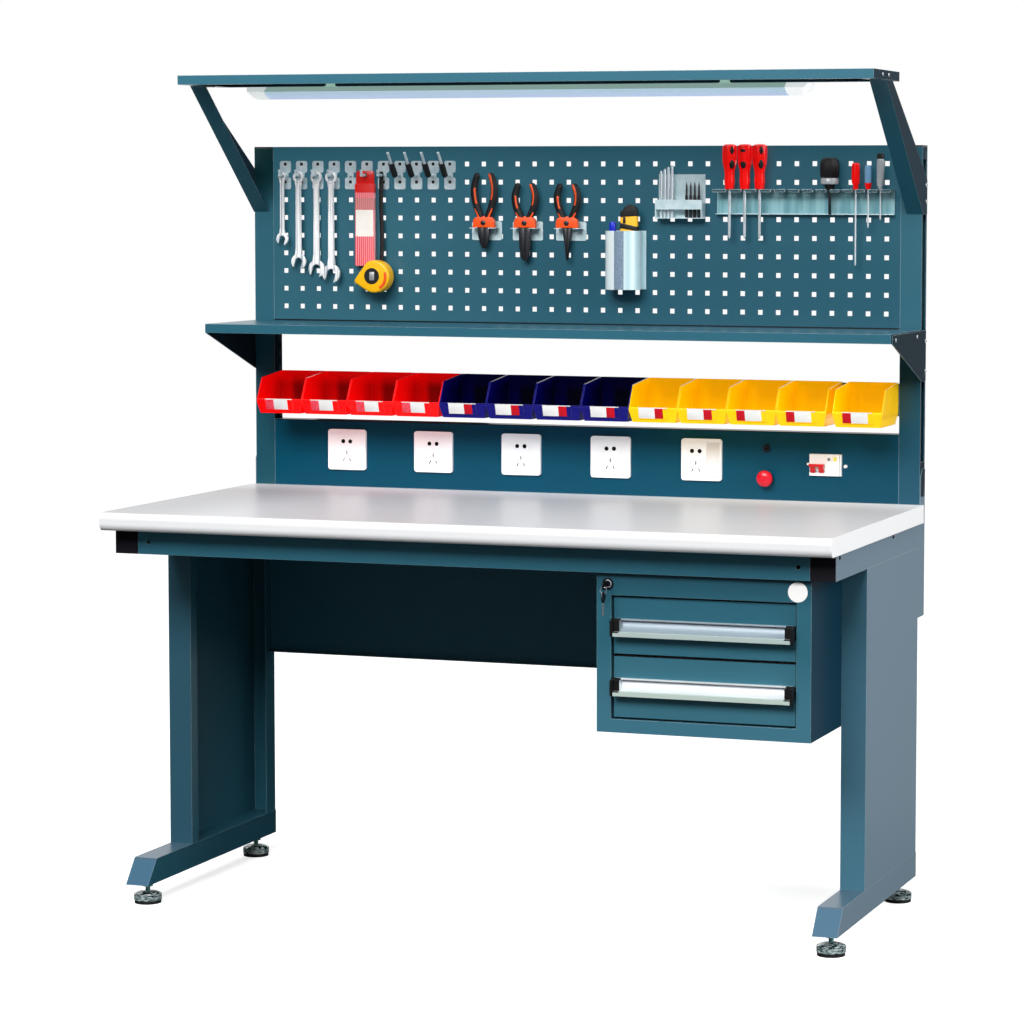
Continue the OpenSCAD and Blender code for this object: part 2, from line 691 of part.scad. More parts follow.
// Breaker: a broad body behind the sheet with its nose through the window
module breaker_body() color("#eef0ee") difference() {
    union() {
        translate([breaker_x, y_post + 2, breaker_top_z]) cube([breaker_w, 16, nose_h], center = true);
        span([breaker_x - breaker_w / 2, y_post + strip_t + stem_gap, breaker_top_z - 40],
            [breaker_x + breaker_w / 2, strip_y - 5, breaker_top_z + 40]);
    }
    translate([lever_x, y_post, lever_z]) cube([lever_w + 1.2, 24, 2 * lever_r + 1], center = true);
    round_y(test_x, y_post - 7, test_z, test_r + stem_gap, 16);
}
module breaker_toggle() color("#d01c24") translate([lever_x, y_post + 2, lever_z]) {
    rotate([0, 90, 0]) cylinder(h = lever_w, r = lever_r, center = true);
    rotate([-24, 0, 0]) {
        for (s = [-1, 1]) translate([s * (lever_w / 2 - 5), -11, 0]) cube([8, 14, 4.5], center = true);
        translate([0, -18, 0]) cube([lever_w, 5, 4.5], center = true);
    }
}
module test_button() color("#e8c62a") round_y(test_x, y_post - 8, test_z, test_r, 14);

// Rail that the bins hook over, with its foot and its ends folded back between the posts
module bin_rail() color("#1d3540") {
    top = bin_rim - bin_t - hang_gap;
    along_x(-post_in, 2 * post_in) folded([[y_post + 18, top - bin_rail_h], [y_post, top - bin_rail_h],
        [y_post, top]], -strip_t);
    both_ends() span([post_in - strip_t, y_post, top - bin_rail_h], [post_in, y_post + 18, top - 14]);
}
// Outline of a bin from the side and of the room inside it, each from the back to the front
module bin_side() polygon([[0, 0], [0, bin_h], [-bin_len + bin_slant, bin_h - bin_fall],
    [-bin_len, bin_front], [-bin_len + bin_lean, 0]]);
module bin_room(i) polygon([[-i, i], [-i, bin_h + i], [-bin_len + i, bin_h + i],
    [-bin_len + i, bin_front], [-bin_len + bin_lean + i, i]]);
function bin_nose(z) = -bin_len + bin_lean * (1 - z / bin_front);
// Outline of a bin from the front: straight above, drawn in below
module bin_face(i) polygon([[-bin_w / 2 + i, bin_h + 2 * i], [-bin_w / 2 + i, bin_front - 4],
    [-bin_w / 2 + 6 + i, i], [bin_w / 2 - 6 - i, i], [bin_w / 2 - i, bin_front - 4],
    [bin_w / 2 - i, bin_h + 2 * i]]);
module bin(i, tint) color(tint) translate([bin_x + bin_w / 2 + i * bin_pitch + (i == 12 ? bin_gap : 0), bin_y, bin_z]) {
    difference() {
        intersection() {
            along_x(-bin_w / 2, bin_w) bin_side();
            along_y(-bin_len, bin_len) bin_face(0);
        }
        intersection() {
            along_x(-bin_w / 2, bin_w) bin_room(bin_t);
            along_y(-bin_len, bin_len) bin_face(bin_t);
        }
    }
    // Hanging lip behind the back wall, which drops over the rail
    hook = strip_t + 2 * hang_gap;
    along_x(-bin_w / 2 + 6, bin_w - 12) folded([[-bin_t, bin_h], [hook + bin_t, bin_h],
        [hook + bin_t, bin_h - 13]], -bin_t);
    // Label holder on the front wall
    z0 = bin_front - label_h;
    z1 = bin_front;
    along_x(-label_w / 2, label_w) polygon([[bin_nose(z1) + 1, z1], [bin_nose(z1) - bin_t, z1],
        [bin_nose(z0) - bin_t, z0], [bin_nose(z0) + 1, z0]]);
}

// Cabinet: folded wrapper with a front frame, and two channels that hang it under the worktop
module cabinet_shell() color(teal) {
    difference() {
        union() {
            difference() {
                span([cab_x0, y_cab, cab_z], [cab_x1, y_cab + cab_d, leg_top]);
                span([cab_x0 + sheet_t, y_cab + sheet_t, cab_z + sheet_t],
                    [cab_x1 - sheet_t, y_cab + cab_d - sheet_t, leg_top - sheet_t]);
            }
            span([open_x0 - sheet_t, y_cab, open_z0 - sheet_t], [open_x1 + sheet_t, y_cab + frame_d, open_z1 + sheet_t]);
        }
        span([open_x0, y_cab - 1, open_z0], [open_x1, y_cab + frame_d + 1, open_z1]);
        round_y(lock_x, y_cab - 1, lock_z, lock_r + 2.7, 4);
    }
    for (x = [open_x0, open_x1 - rail_d]) along_y(y_rail + rail_d + plug_t, cab_d - frame_d) {
        folded([[x + rail_d, leg_top], [x, leg_top], [x, under_top], [x + rail_d, under_top]], -tube_t);
        patch([x, leg_top - sheet_t], [x + rail_d, leg_top + tube_t]);
    }
}
// Drawer runners: channels on uprights inside the cabinet
module runner_pair(z) {
    for (s = [1, -1]) {
        edge = s > 0 ? open_x0 : open_x1;
        along_y(runner_y, tray_len - 20) folded([[edge + s * 10, z - runner_h / 2], [edge, z - runner_h / 2],
            [edge, z + runner_h / 2], [edge + s * 10, z + runner_h / 2]], -s * sheet_t);
    }
}
function runner_z(z) = z + 40;
module drawer_runners() color("#aeb6b8") {
    runner_pair(runner_z(low_z));
    runner_pair(runner_z(up_z));
    for (y = [runner_y, runner_y + tray_len - 50], s = [1, -1]) {
        wall = s > 0 ? cab_x0 + sheet_t : cab_x1 - sheet_t;
        along_z(cab_z + sheet_t, lock_z - 22 - cab_z - sheet_t) folded([[wall, y], [wall + s * upright_w, y],
            [wall + s * upright_w, y + 30], [wall, y + 30]], s * sheet_t);
    }
}
// A drawer: folded front, open tray and the inner members of its runners
module drawer(z, front_h) color(teal) {
    x0 = open_x0 + front_gap;
    x1 = open_x1 - front_gap;
    t0 = open_x0 + runner_w;
    t1 = open_x1 - runner_w;
    difference() {
        union() {
            span([x0, front_y, z], [x1, tray_y, z + front_h]);
            span([t0, tray_y, z + 8], [t1, tray_y + tray_len, z + 8 + tray_wall]);
        }
        span([x0 + sheet_t, front_y + sheet_t, z + sheet_t], [x1 - sheet_t, tray_y - sheet_t, z + front_h - sheet_t]);
        span([x0 + sheet_t, tray_y - 2 * sheet_t, z + sheet_t], [x1 - sheet_t, tray_y + sheet_t, z + 8]);
        span([t0 + sheet_t, tray_y + sheet_t, z + 8 + sheet_t], [t1 - sheet_t, tray_y + tray_len - sheet_t, z + front_h]);
    }
    for (s = [1, -1]) {
        edge = s > 0 ? open_x0 : open_x1;
        span([min(edge + s * 2, edge + s * runner_w), tray_y, runner_z(z) - 15],
            [max(edge + s * 2, edge + s * runner_w), tray_y + tray_len - 12, runner_z(z) + 15]);
    }
}
// Handle extrusion: top lip, hollow face and a finger ledge, with a black cap on each end
module handle_arc(grow) intersection() {
    translate([-handle_d - 2, handle_h - handle_t]) circle(handle_d - 0.5 + grow);
    patch([-handle_d, 0], [0, handle_h - handle_t]);
}
// Black cap: the whole outline outside the profile, with a plug in its hollow
module handle_cap() color("#141518") {
    along_x(handle_len / 2 - cap_plug, cap_plug + stem_gap) intersection() {
        handle_arc(-stem_gap);
        patch([-handle_d + 6, 10], [-2 - stem_gap, handle_h - handle_t - stem_gap]);
    }
    along_x(handle_len / 2 + stem_gap, handle_end - stem_gap) {
        handle_arc(handle_t - 0.3);
        patch([-9, handle_h - handle_t], [0, handle_h]);
        patch([-2, 8], [0, handle_h]);
        patch([-handle_d, 0], [-handle_d + handle_t, 9.3]);
    }
}
module handle(z) translate([(open_x0 + open_x1) / 2, front_y, z]) {
    color("#dfe5e4") along_x(-handle_len / 2, handle_len) {
        difference() {
            handle_arc(handle_t - 0.3);
            handle_arc(0);
        }
        patch([-2, 8], [0, handle_h]);
        patch([-9, handle_h - handle_t], [0, handle_h]);
        patch([-handle_d, 0], [-handle_d + handle_t, 9.3]);
    }
    both_ends() handle_cap();
}

// Cabinet lock: barrel with its nut, turning plug with key and cam, and a spare key on a ring
module lock_barrel() color("#1a1a1c") difference() {
    union() {
        round_y(lock_x, y_cab - 3, lock_z, lock_r + 5, 3);
        round_y(lock_x, y_cab - 1, lock_z, lock_r + 2.5, 21);
        round_y(lock_x, y_cab + sheet_t, lock_z, lock_r + 5, 5);
    }
    round_y(lock_x, y_cab - 4, lock_z, lock_r + 0.05, 26);
}
module lock_key() color("#2a2a2e") difference() {
    union() {
        round_y(lock_x, y_cab - 3.5, lock_z, lock_r, 25);
        span([lock_x - 6, y_cab + 20.3, lock_z - 6], [lock_x + 18, y_cab + 22.3, lock_z + 6]);
        span([lock_x - bow_t / 2, y_cab - 14, lock_z - 4], [lock_x + bow_t / 2, y_cab - 3, lock_z + 4]);
        translate([lock_x, key_y + 5, lock_z]) rotate([0, 90, 0]) cylinder(h = bow_t, r = 11, center = true);
    }
    translate([lock_x, key_y, lock_z - 3]) rotate([0, 90, 0]) cylinder(h = 10, r = bow_hole_r, center = true);
}
module spare_key() color("#303034") {
    translate([lock_x, key_y, ring_top - ring_r]) rotate([90, 0, 0]) rotate_extrude()
        translate([ring_r, 0]) circle(wire_r, $fn = 24);
    difference() {
        union() {
            translate([lock_x, key_y, spare_z - 5]) rotate([0, 90, 0]) cylinder(h = 2.6, r = 10, center = true);
            span([lock_x - 1, key_y - 3.5, spare_z - 40], [lock_x + 1, key_y + 3.5, spare_z - 10]);
        }
        translate([lock_x, key_y, spare_z]) rotate([0, 90, 0]) cylinder(h = 10, r = bow_hole_r, center = true);
    }
}

// Hook plates on the tool panel: plain pins for wrenches, raised sleeved pins on the last four
module panel_hooks() color(steel) for (i = [0 : 10]) translate([peg_x1 + i * peg_pitch, y_post, peg_z1]) {
    along_y(-2, 2) {
        for (z = [-6, -3 - peg_pitch]) translate([0, z]) pad(26, 26, 5);
        patch([-7, -hook_drop - 12], [7, 10 - hook_drop]);
    }
    for (z = [0, -peg_pitch]) span([-4, -1, z - 4], [4, 5, z + 4]);
    pin = i == 4 ? 8 : i < 7 ? 34 : 30;
    round_y(0, -pin, -hook_drop, pin_r, pin - 1);
    if (i != 4 && i < 7) translate([0, pin_r - pin, -hook_drop]) rotate([20, 0, 0]) cylinder(h = 12, r = pin_r - 0.5);
    if (i > 6) translate([0, -pin, -hook_drop]) rotate([40, 0, 0]) {
        translate([0, 0, -1]) cylinder(h = 34, r = 6.5);
        cylinder(h = 62, r = pin_r);
    }
}
// Tab of a holder through the panel hole nearest to a place
module panel_tab(x, z) {
    tab_x = peg_x1 + peg_pitch * round((x - peg_x1) / peg_pitch);
    tab_z = peg_z1 + peg_pitch * round((z - peg_z1) / peg_pitch);
    span([tab_x - 4, y_post - 1, tab_z - 4], [tab_x + 4, y_post + 5, tab_z + 4]);
}
// A combination wrench hanging from its ring: length between the two ends, ring and jaw radii
module wrench(i, len, ring, jaw, out = 22) {
    hole = ring * 0.6;
    translate([peg_x1 + i * peg_pitch, y_post, hang_z + pin_r + hang_gap - hole]) along_y(-out, 7) difference() {
        union() {
            circle(ring);
            patch([-ring * 0.55, -len], [ring * 0.55, 0]);
            translate([0, -len]) circle(jaw);
        }
        circle(hole);
        translate([0, -len]) rotate(-15) patch([-jaw * 0.5, -2 * jaw], [jaw * 0.5, jaw * 0.1]);
        translate([0, -len]) rotate(-15) circle(jaw * 0.5);
    }
}
module wrenches() color("#d6dade") {
    wrench(0, 136, 9, 14);
    wrench(1, 183, 12, 17);
    wrench(2, 198, 13, 19, 13);
    wrench(3, 208, 13, 20.5);
}
// Pliers: two grips, a round joint and a nose, in a holder with a slotted ledge
module plier(x, grip, nose, tip) translate([x, y_post, plier_z]) {
    for (s = [-1, 1]) along_y(-24, 13) polygon([[s * 2, 4], [s * 26, 24], [s * 24, grip - 8], [s * 18, grip],
        [s * 12, grip - 6], [s * 12, 34]]);
    along_y(-24, 13) polygon([[-20, 1.8], [20, 1.8], [26, 24], [0, 34], [-26, 24]]);
    along_y(-22, 9) polygon([[-11, 2.5], [-tip, -nose], [tip, -nose], [11, 2.5]]);
}
module pliers() color("#e0561c") {
    plier(-204, 118, 42, 4);
    plier(-111, 96, 68, 6);
    plier(-13, 95, 66, 1.5);
}
module plier_holder(x) {
    translate([x, y_post, plier_z]) {
        translate([0, 0, -5]) along_y(-1.5, 1.5) pad(68, 40, 4);
        difference() {
            span([-28, -32, 0], [28, 0, 1.5]);
            span([-14, -33, -1], [14, -10, 3]);
        }
    }
    panel_tab(x, plier_z - 17);
}
// Cup for small things, open at the top
module cup() translate([cup_x, y_post, cup_z]) {
    span([-cup_r, -1.5, 0], [cup_r + 3, 0, 123]);
    difference() {
        intersection() {
            translate([0, -28, 0]) cylinder(h = 123, r = cup_r);
            span([-50, -80, 0], [50, 0, 123]);
        }
        intersection() {
            translate([0, -28, 1.5]) cylinder(h = 123, r = cup_r - 1.5);
            span([-50, -80, 0], [50, -1.5, 130]);
        }
    }
}
// Holder for bits: a back plate, a bottom ledge and a front bar
module bit_holder() translate([bit_x, y_post, bit_z]) {
    span([-51, -1.5, 0], [51, 0, 92]);
    span([-51, -28, 0], [51, 0, 1.5]);
    span([-51, -28, 19], [51, -26.5, 39]);
    for (x = [-51, 49.5]) span([x, -28, 0], [x + 1.5, 0, 39]);
}
// Screwdriver rack: folded strip with a row of open slots in its top flange
module driver_rack() color(steel) {
    difference() {
        along_x(rack_x, rack_len) folded([[y_post - 36, rack_z - 6], [y_post - 36, rack_z], [y_post, rack_z],
            [y_post, rack_z - 52], [y_post - 14, rack_z - 52]], -1.5);
        for (i = [0 : 11])
            span([notch(i) - notch_w / 2, y_post - 40, rack_z - 10],
                [notch(i) + notch_w / 2, y_post - notch_out + notch_w / 2, rack_z + 1]);
    }
    for (x = [rack_x + 40, rack_x + rack_len - 40]) panel_tab(x, rack_z - 25);
}
module tool_holders() color(steel) {
    plier_holder(-204);
    plier_holder(-111);
    plier_holder(-13);
    cup();
    panel_tab(cup_x, cup_z + 110);
    bit_holder();
    panel_tab(bit_x, bit_z + 70);
}
// A screwdriver hanging in the rack: grip radii from its foot up, grip length and blade
module driver(i, r, grip, blade, blade_r) translate([notch(i), y_post - notch_out, rack_z + hang_gap]) {
    rotate_extrude() polygon([[0, 0], [r * 0.62, 0], [r * 0.7, grip * 0.15], [r * 0.66, grip * 0.3],
        [r, grip * 0.5], [r, grip * 0.9], [r * 0.8, grip], [0, grip]]);
    translate([0, 0, -blade]) cylinder(h = blade + 1, r = blade_r);
}
module screwdrivers() color("#e01b16") {
    for (i = [0 : 2]) driver(i, 15.8, 93, 102, 3);
    driver(7, 21, 66, 52, 3.2);
    driver(9, 9, 54, 156, 1.8);
    driver(10, 8.2, 50, 78, 1.8);
    driver(11, 8.5, 74, 62, 1.8);
}
// Rod pack, strap, tape measure, knife and marker in the cup, and the bits
module small_tools() {
    pack_x = peg_x1 + 5 * peg_pitch;
    color("#e8485c") difference() {
        along_y(y_post - 16, 12) translate([pack_x, hang_z - 93]) pad(45, 205, 3);
        round_y(pack_x, y_post - 20, hang_z - hang_gap, pin_r + hang_gap, 20);
    }
    strap_x = peg_x1 + 6 * peg_pitch;
    color("#16181c") {
        difference() {
            along_y(y_post - 14, 4) translate([strap_x, hang_z - 97]) pad(12, 214, 5);
            round_y(strap_x, y_post - 20, hang_z - hang_gap, pin_r + hang_gap, 20);
        }
        span([strap_x - 4, y_post - 18, hang_z - 202], [strap_x + 4, y_post - 14, hang_z - 188]);
    }
    color("#f2b90f") along_y(y_post - 52, 34) translate([strap_x - 3, hang_z - 217]) {
        circle(35);
        polygon([[-20, -28], [-48, -12], [-34, 10]]);
    }
    color("#f0c417") along_y(y_post - 38, 12) translate([cup_x + 14, cup_z + 90]) pad(37, 176, 8);
    color("#1b2fb4") translate([cup_x - 22, y_post - 34, cup_z + 2]) cylinder(h = 141, r = 7);
    color("#b8bec4") for (i = [0 : 3])
        translate([bit_x - 42 + i * 8, y_post - 14, bit_z + 1.5 + hang_gap]) cylinder(h = 100 + 4 * i, r = 3);
    color("#16181c") for (i = [0 : 3])
        translate([bit_x + 14 + i * 9, y_post - 14, bit_z + 1.5 + hang_gap]) cylinder(h = 76, r = 3.2);
}

worktop_core();
worktop_laminate();
cross_rails();
side_rails();
tube_end_plugs();
both_ends() leg();  // legs
foot_beams();
foot_jam_nuts();
levelling_foot(-1, toe_y + foot_front_in);  // foot_front_left
levelling_foot(1, toe_y + foot_front_in);  // foot_front_right
levelling_foot(-1, leg_back - foot_rear_in);  // foot_rear_left
levelling_foot(1, leg_back - foot_rear_in);  // foot_rear_right
modesty_panel();
posts();
post_sockets();
tool_panel();
shelf();
shelf_brackets();
canopy();
canopy_arms();
lamp_housing();
lamp_cover();
socket_strip_housing();
socket_plates();
rocker_switch();
panel_fittings();
red_push_button();
breaker_body();
breaker_toggle();
test_button();
bin_rail();
bin(0, "#e01414");  // red_bin_1
bin(1, "#e01414");  // red_bin_2
bin(2, "#e01414");  // red_bin_3
bin(3, "#e01414");  // red_bin_4
bin(4, "#12127c");  // blue_bin_1
bin(5, "#12127c");  // blue_bin_2
bin(6, "#12127c");  // blue_bin_3
bin(7, "#12127c");  // blue_bin_4
bin(8, "#f2c318");  // yellow_bin_1
bin(9, "#f2c318");  // yellow_bin_2
bin(10, "#f2c318");  // yellow_bin_3
bin(11, "#f2c318");  // yellow_bin_4
bin(12, "#f2c318");  // yellow_bin_5
cabinet_shell();
drawer_runners();
drawer(up_z, up_front);  // drawer_upper
handle(up_z + up_front - handle_down - handle_h);  // handle_upper
drawer(low_z, low_front);  // drawer_lower
handle(low_z + low_front - handle_down - handle_h);  // handle_lower
lock_barrel();
lock_key();
spare_key();
panel_hooks();
tool_holders();
driver_rack();
wrenches();
pliers();
screwdrivers();
small_tools();
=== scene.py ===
"""Looks of the anti-static workbench: finishes for its steel, laminate, plastics and metals, the hand tools
on its panel, the cards on its bins, its screws, and the studio it stands in. Pieces are drawn in
millimetres in the bench's own frame: origin on the floor under its middle, +X to the right, +Y to the tool
panel, +Z up."""

import math

import bmesh
import bpy
from mathutils import Matrix, Vector


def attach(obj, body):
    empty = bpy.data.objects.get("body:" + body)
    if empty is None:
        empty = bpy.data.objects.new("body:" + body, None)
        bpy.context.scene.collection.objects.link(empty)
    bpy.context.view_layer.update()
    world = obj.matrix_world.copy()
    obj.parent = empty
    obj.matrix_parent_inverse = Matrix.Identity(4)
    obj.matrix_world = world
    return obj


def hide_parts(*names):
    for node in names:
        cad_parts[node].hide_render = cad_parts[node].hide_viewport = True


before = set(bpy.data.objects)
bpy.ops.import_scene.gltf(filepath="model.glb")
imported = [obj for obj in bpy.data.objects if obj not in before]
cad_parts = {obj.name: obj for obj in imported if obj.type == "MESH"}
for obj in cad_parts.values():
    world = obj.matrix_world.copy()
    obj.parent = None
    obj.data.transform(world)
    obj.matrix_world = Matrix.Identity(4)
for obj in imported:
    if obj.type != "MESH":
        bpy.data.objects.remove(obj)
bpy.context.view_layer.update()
MM = 0.001

# Planes and lines that the pieces sit on
POST_Y = 340
HANG_Z = 1489.5
RACK_Z = 1460.5
LEDGE_Z = 1376.5
DRIVER_Y = POST_Y - 22
DRIVER_Z = RACK_Z + 0.3
NOTCH_X = 343
NOTCH_PITCH = 33.2
NOTCH_CLOSING = 0.355
COLUMN_X = -673.75
PITCH = 38.5
BIN_Y = 339.7
BIN_Z = 979
BIN_LEN = 131
BIN_FRONT = 28
BIN_LEAN = 8
BIN_X = -632.85
BIN_PITCH = 105.7
LAST_BIN_GAP = 13
LOCK_X = 295
LOCK_Z = 705
CUP_X = 113
BIT_X = 233
PLATE_X = -529
PLATE_PITCH = 202
PLATE_Z = 895
HANDLE_X = 486
HANDLE_Z = 490
HANDLE_PITCH = 115

# Strength of the soft light from above, and of what shiny surfaces see in front of and behind the bench
SKY_LIGHT = 0.5
DARK_ROOM = 0.08
BACKDROP = 1.1


def linear(red, green, blue):
    """A colour read from a screen, 0 to 255, as the linear colour that a shader takes."""
    return tuple(
        ((c / 255 + 0.055) / 1.055) ** 2.4 if c > 10 else c / 255 / 12.92 for c in (red, green, blue)) + (1,)


def put_node(tree, kind, settings=None, values=None):
    """A node with its settings, and its inputs set to values or linked to sockets."""
    node = tree.nodes.new(kind)
    for key, value in (settings or {}).items():
        setattr(node, key, value)
    for key, value in (values or {}).items():
        if isinstance(value, bpy.types.NodeSocket):
            tree.links.new(value, node.inputs[key])
        elif value is not None:
            node.inputs[key].default_value = value
    return node


class Field:
    """A number that varies over a surface. Arithmetic on it adds Math nodes."""

    def __init__(self, paint, socket):
        self.paint = paint
        self.socket = socket

    def math(self, operation, *others):
        return self.paint.add("ShaderNodeMath", {"operation": operation}, dict(enumerate(others)))

    def __add__(self, other):
        return self.math("ADD", self, other)

    def __sub__(self, other):
        return self.math("SUBTRACT", self, other)

    def __rsub__(self, other):
        return self.math("SUBTRACT", other, self)

    def __mul__(self, other):
        return self.math("MULTIPLY", self, other)

    def __pow__(self, other):
        return self.math("POWER", self, other)

    def __lt__(self, other):
        return self.math("LESS_THAN", self, other)

    def __gt__(self, other):
        return self.math("GREATER_THAN", self, other)

    def __mod__(self, other):
        return self.math("FLOORED_MODULO", self, other)

    def __abs__(self):
        return self.math("ABSOLUTE", self)

    def sin(self):
        return self.math("SINE", self)

    def ramp(self, low, high):
        """0 below low, 1 above high, smooth between."""
        return self.paint.add(
            "ShaderNodeMapRange", {"interpolation_type": "SMOOTHSTEP"}, {0: self, 1: low, 2: high})

    __radd__ = __add__
    __rmul__ = __mul__


class Paint:
    """A material in the making."""

    def __init__(self, name):
        self.material = bpy.data.materials.new(name)
        self.material.use_nodes = True
        self.tree = self.material.node_tree
        self.tree.nodes.clear()
        self.place = self.add("ShaderNodeTexCoord", output="Object")
        self.x, self.y, self.z = self.split(self.place)

    def add(self, kind, settings=None, values=None, output=0):
        plain = {
            key: value.socket if isinstance(value, Field) else value for key, value in (values or {}).items()}
        node = put_node(self.tree, kind, settings, plain)
        return Field(self, node.outputs[output]) if len(node.outputs) else None

    def split(self, vector):
        node = put_node(self.tree, "ShaderNodeSeparateXYZ", values={0: vector.socket})
        return [Field(self, node.outputs[i]) for i in range(3)]

    def noise(self, scale, detail=2.0, place=None):
        return self.add(
            "ShaderNodeTexNoise", {}, {"Vector": place or self.place, "Scale": scale, "Detail": detail})

    def streaks(self, x, y, z, detail=2.0):
        """Noise with a scale for each axis, so it runs long where the scale is small."""
        place = self.add("ShaderNodeMapping", {}, {"Vector": self.place, "Scale": (x, y, z)})
        return self.noise(1, detail, place)

    def mix(self, low, high, factor):
        """A mix of two colours; one of three plain numbers is a colour read from a screen."""
        low, high = (linear(*c) if isinstance(c, tuple) and len(c) == 3 else c for c in (low, high))
        return self.add("ShaderNodeMix", {"data_type": "RGBA"}, {0: factor, 6: low, 7: high}, 2)

    def box_mask(self, centre, half):
        """1 inside a box given in metres by its middle and half sizes; None leaves an axis free."""
        mask = None
        for axis, c, h in zip((self.x, self.y, self.z), centre, half):
            if h is not None:
                inside = abs(axis - c) < h
                mask = inside if mask is None else mask * inside
        return mask

    def facing(self):
        """How far a surface faces right, back and up, each from -1 to 1."""
        return self.split(self.add("ShaderNodeTexCoord", output="Normal"))

    def edges(self, radius):
        """1 along folds and edges, within a radius of them, and 0 on open faces."""
        soft = self.add("ShaderNodeBevel", {"samples": 4}, {"Radius": radius})
        flat = self.add("ShaderNodeNewGeometry", output="Normal")
        along = self.add("ShaderNodeVectorMath", {"operation": "DOT_PRODUCT"}, {0: soft, 1: flat}, "Value")
        return (1 - along).ramp(0.02, 0.2)

    def finish(self, color, roughness, height=None, rise=0.0, soften=0.0, matt=None, **fixed):
        normal = self.add("ShaderNodeBevel", {"samples": 4}, {"Radius": soften}) if soften else None
        if height is not None:
            normal = self.add("ShaderNodeBump", {}, {"Height": height, "Distance": rise, "Normal": normal})
        values = {"Base Color": color, "Roughness": roughness, "Normal": normal}
        values.update({key.replace("_", " "): value for key, value in fixed.items()})
        if "Emission_Color" in fixed:
            values["Emission Strength"] = 1.0
        shader = self.add("ShaderNodeBsdfPrincipled", {}, values)
        if matt:
            plain = self.add("ShaderNodeBsdfDiffuse", {}, {0: matt[1]})
            shader = self.add("ShaderNodeMixShader", {}, {0: matt[0], 1: shader, 2: plain})
        self.add("ShaderNodeOutputMaterial", {}, {"Surface": shader})
        return self.material


def shade(color, share):
    return tuple(c * share for c in color[:3]) + (1,)


def powder_coat(name, color, roughness=0.3, specular=0.4, marks=(), fold=None, lift=None):
    """Glossy powder coat: faint clouding, orange-peel ripple and a painted highlight on its folds and edges.
    Its right faces are mostly given a matt colour of painted shade and reflection: dark above the worktop and
    on the cabinet's side, pale grey-blue on the legs. Marks are pairs of a mask and a colour, such as the
    painted shadow in a joint; fold keeps the painted fold highlight to one place, and lift paints light into
    a shaded part as a faint glow."""
    p = Paint(name)
    cloud = p.noise(2.5, 3.0)
    peel = p.noise(650, 1.0)
    tint = p.mix(shade(color, 0.93), shade(color, 1.07), cloud)
    for mask, mark in marks:
        tint = p.mix(tint, mark, mask(p))
    # Painted highlight: folds and edges are paled as if they caught the light.
    fold_highlight = p.edges(0.0011)
    if fold:
        fold_highlight = fold_highlight * fold(p)
    tint = p.mix(tint, (196, 216, 222), fold_highlight * 0.7)
    # Painted shade and reflection: right faces turn matt, dark high up and on the cabinet, pale on the legs.
    high = p.z > 0.83
    side = (p.facing()[0] > 0.7) * high.math("MAXIMUM", high, p.x > 0.69)
    painted_low_side = p.mix((16, 46, 64), (120, 139, 153), p.x > 0.72)
    painted_high_side = p.mix((13, 21, 31), (25, 36, 47), p.z > 1.3)
    plain = p.mix(painted_low_side, painted_high_side, high)
    # Painted light: lift gives a shaded part a faint glow.
    glow = {}
    if lift:
        glow = {"Emission_Color": p.mix((0, 0, 0, 1), shade(color, 0.35), lift(p))}
    return p.finish(
        tint, roughness + cloud * 0.06, peel, 0.00003, 0.0009, (side * (1 - fold_highlight) * 0.88, plain),
        Specular_IOR_Level=specular, **glow)


def plastic(name, color, roughness=0.35, specular=0.45, grain=900, rise=0.00002, **fixed):
    """Moulded plastic with a fine spark-eroded grain and slight clouding."""
    p = Paint(name)
    cloud = p.noise(9, 2.0)
    tint = p.mix(shade(color, 0.95), shade(color, 1.04), cloud)
    return p.finish(
        tint, roughness + cloud * 0.05, p.noise(grain, 1.0), rise, 0.0006, Specular_IOR_Level=specular,
        **fixed)


def metal(name, color, roughness=0.25, stretch=(60, 60, 900), rise=0.00002, soften=0.0005, metallic=0.6):
    """Plated or brushed metal: long fine scratches and patches of dulled shine."""
    p = Paint(name)
    scratch = p.streaks(*stretch, detail=3.0)
    patch = p.noise(14, 2.0)
    tint = p.mix(shade(color, 0.86), color, scratch.ramp(0.3, 0.65))
    return p.finish(tint, roughness + patch * 0.12, scratch, rise, soften, Metallic=metallic)


def laminate():
    """Pale anti-static laminate: fine grey flecks and a soft ripple in its shine. Painted light and shade
    make the rounded edge and the ends paler than the top, the right end palest, and the top darker towards
    its left end; a faint painted glow lightens the back of the top."""
    p = Paint("worktop_laminate")
    fleck = p.noise(420, 2.0).ramp(0.42, 0.6)
    wave = p.noise(1.7, 2.0)
    flat = p.z.ramp(0.8122, 0.8139) * (abs(p.x) < 0.7562)
    # Painted light and shade: the top is greyer than the rounded edge, and darker towards the left end.
    grey = p.mix((196, 197, 200), (210, 211, 214), fleck * 0.4 + wave * 0.6)
    grey = p.mix((176, 177, 179), grey, p.x.ramp(-0.7, -0.45))
    # Painted light: the rounded edge is paler, the right end palest.
    white = p.mix((221, 222, 224), (226, 227, 229), wave)
    white = p.mix(white, (247, 248, 249), p.x > 0.7562)
    # Painted light: a faint glow on the back of the top.
    rear = p.mix((0, 0, 0, 1), (0.22, 0.23, 0.24, 1), p.y.ramp(0.16, 0.34) * flat)
    return p.finish(
        p.mix(white, grey, flat), 0.3 + wave * 0.08, p.noise(160, 1.0), 0.000002, 0.0012,
        Specular_IOR_Level=0.2, Emission_Color=rear)


def chipboard():
    p = Paint("worktop_chipboard")
    chips = p.noise(240, 4.0)
    return p.finish(p.mix((120, 92, 60), (190, 160, 118), chips), 0.85, chips, 0.0003)


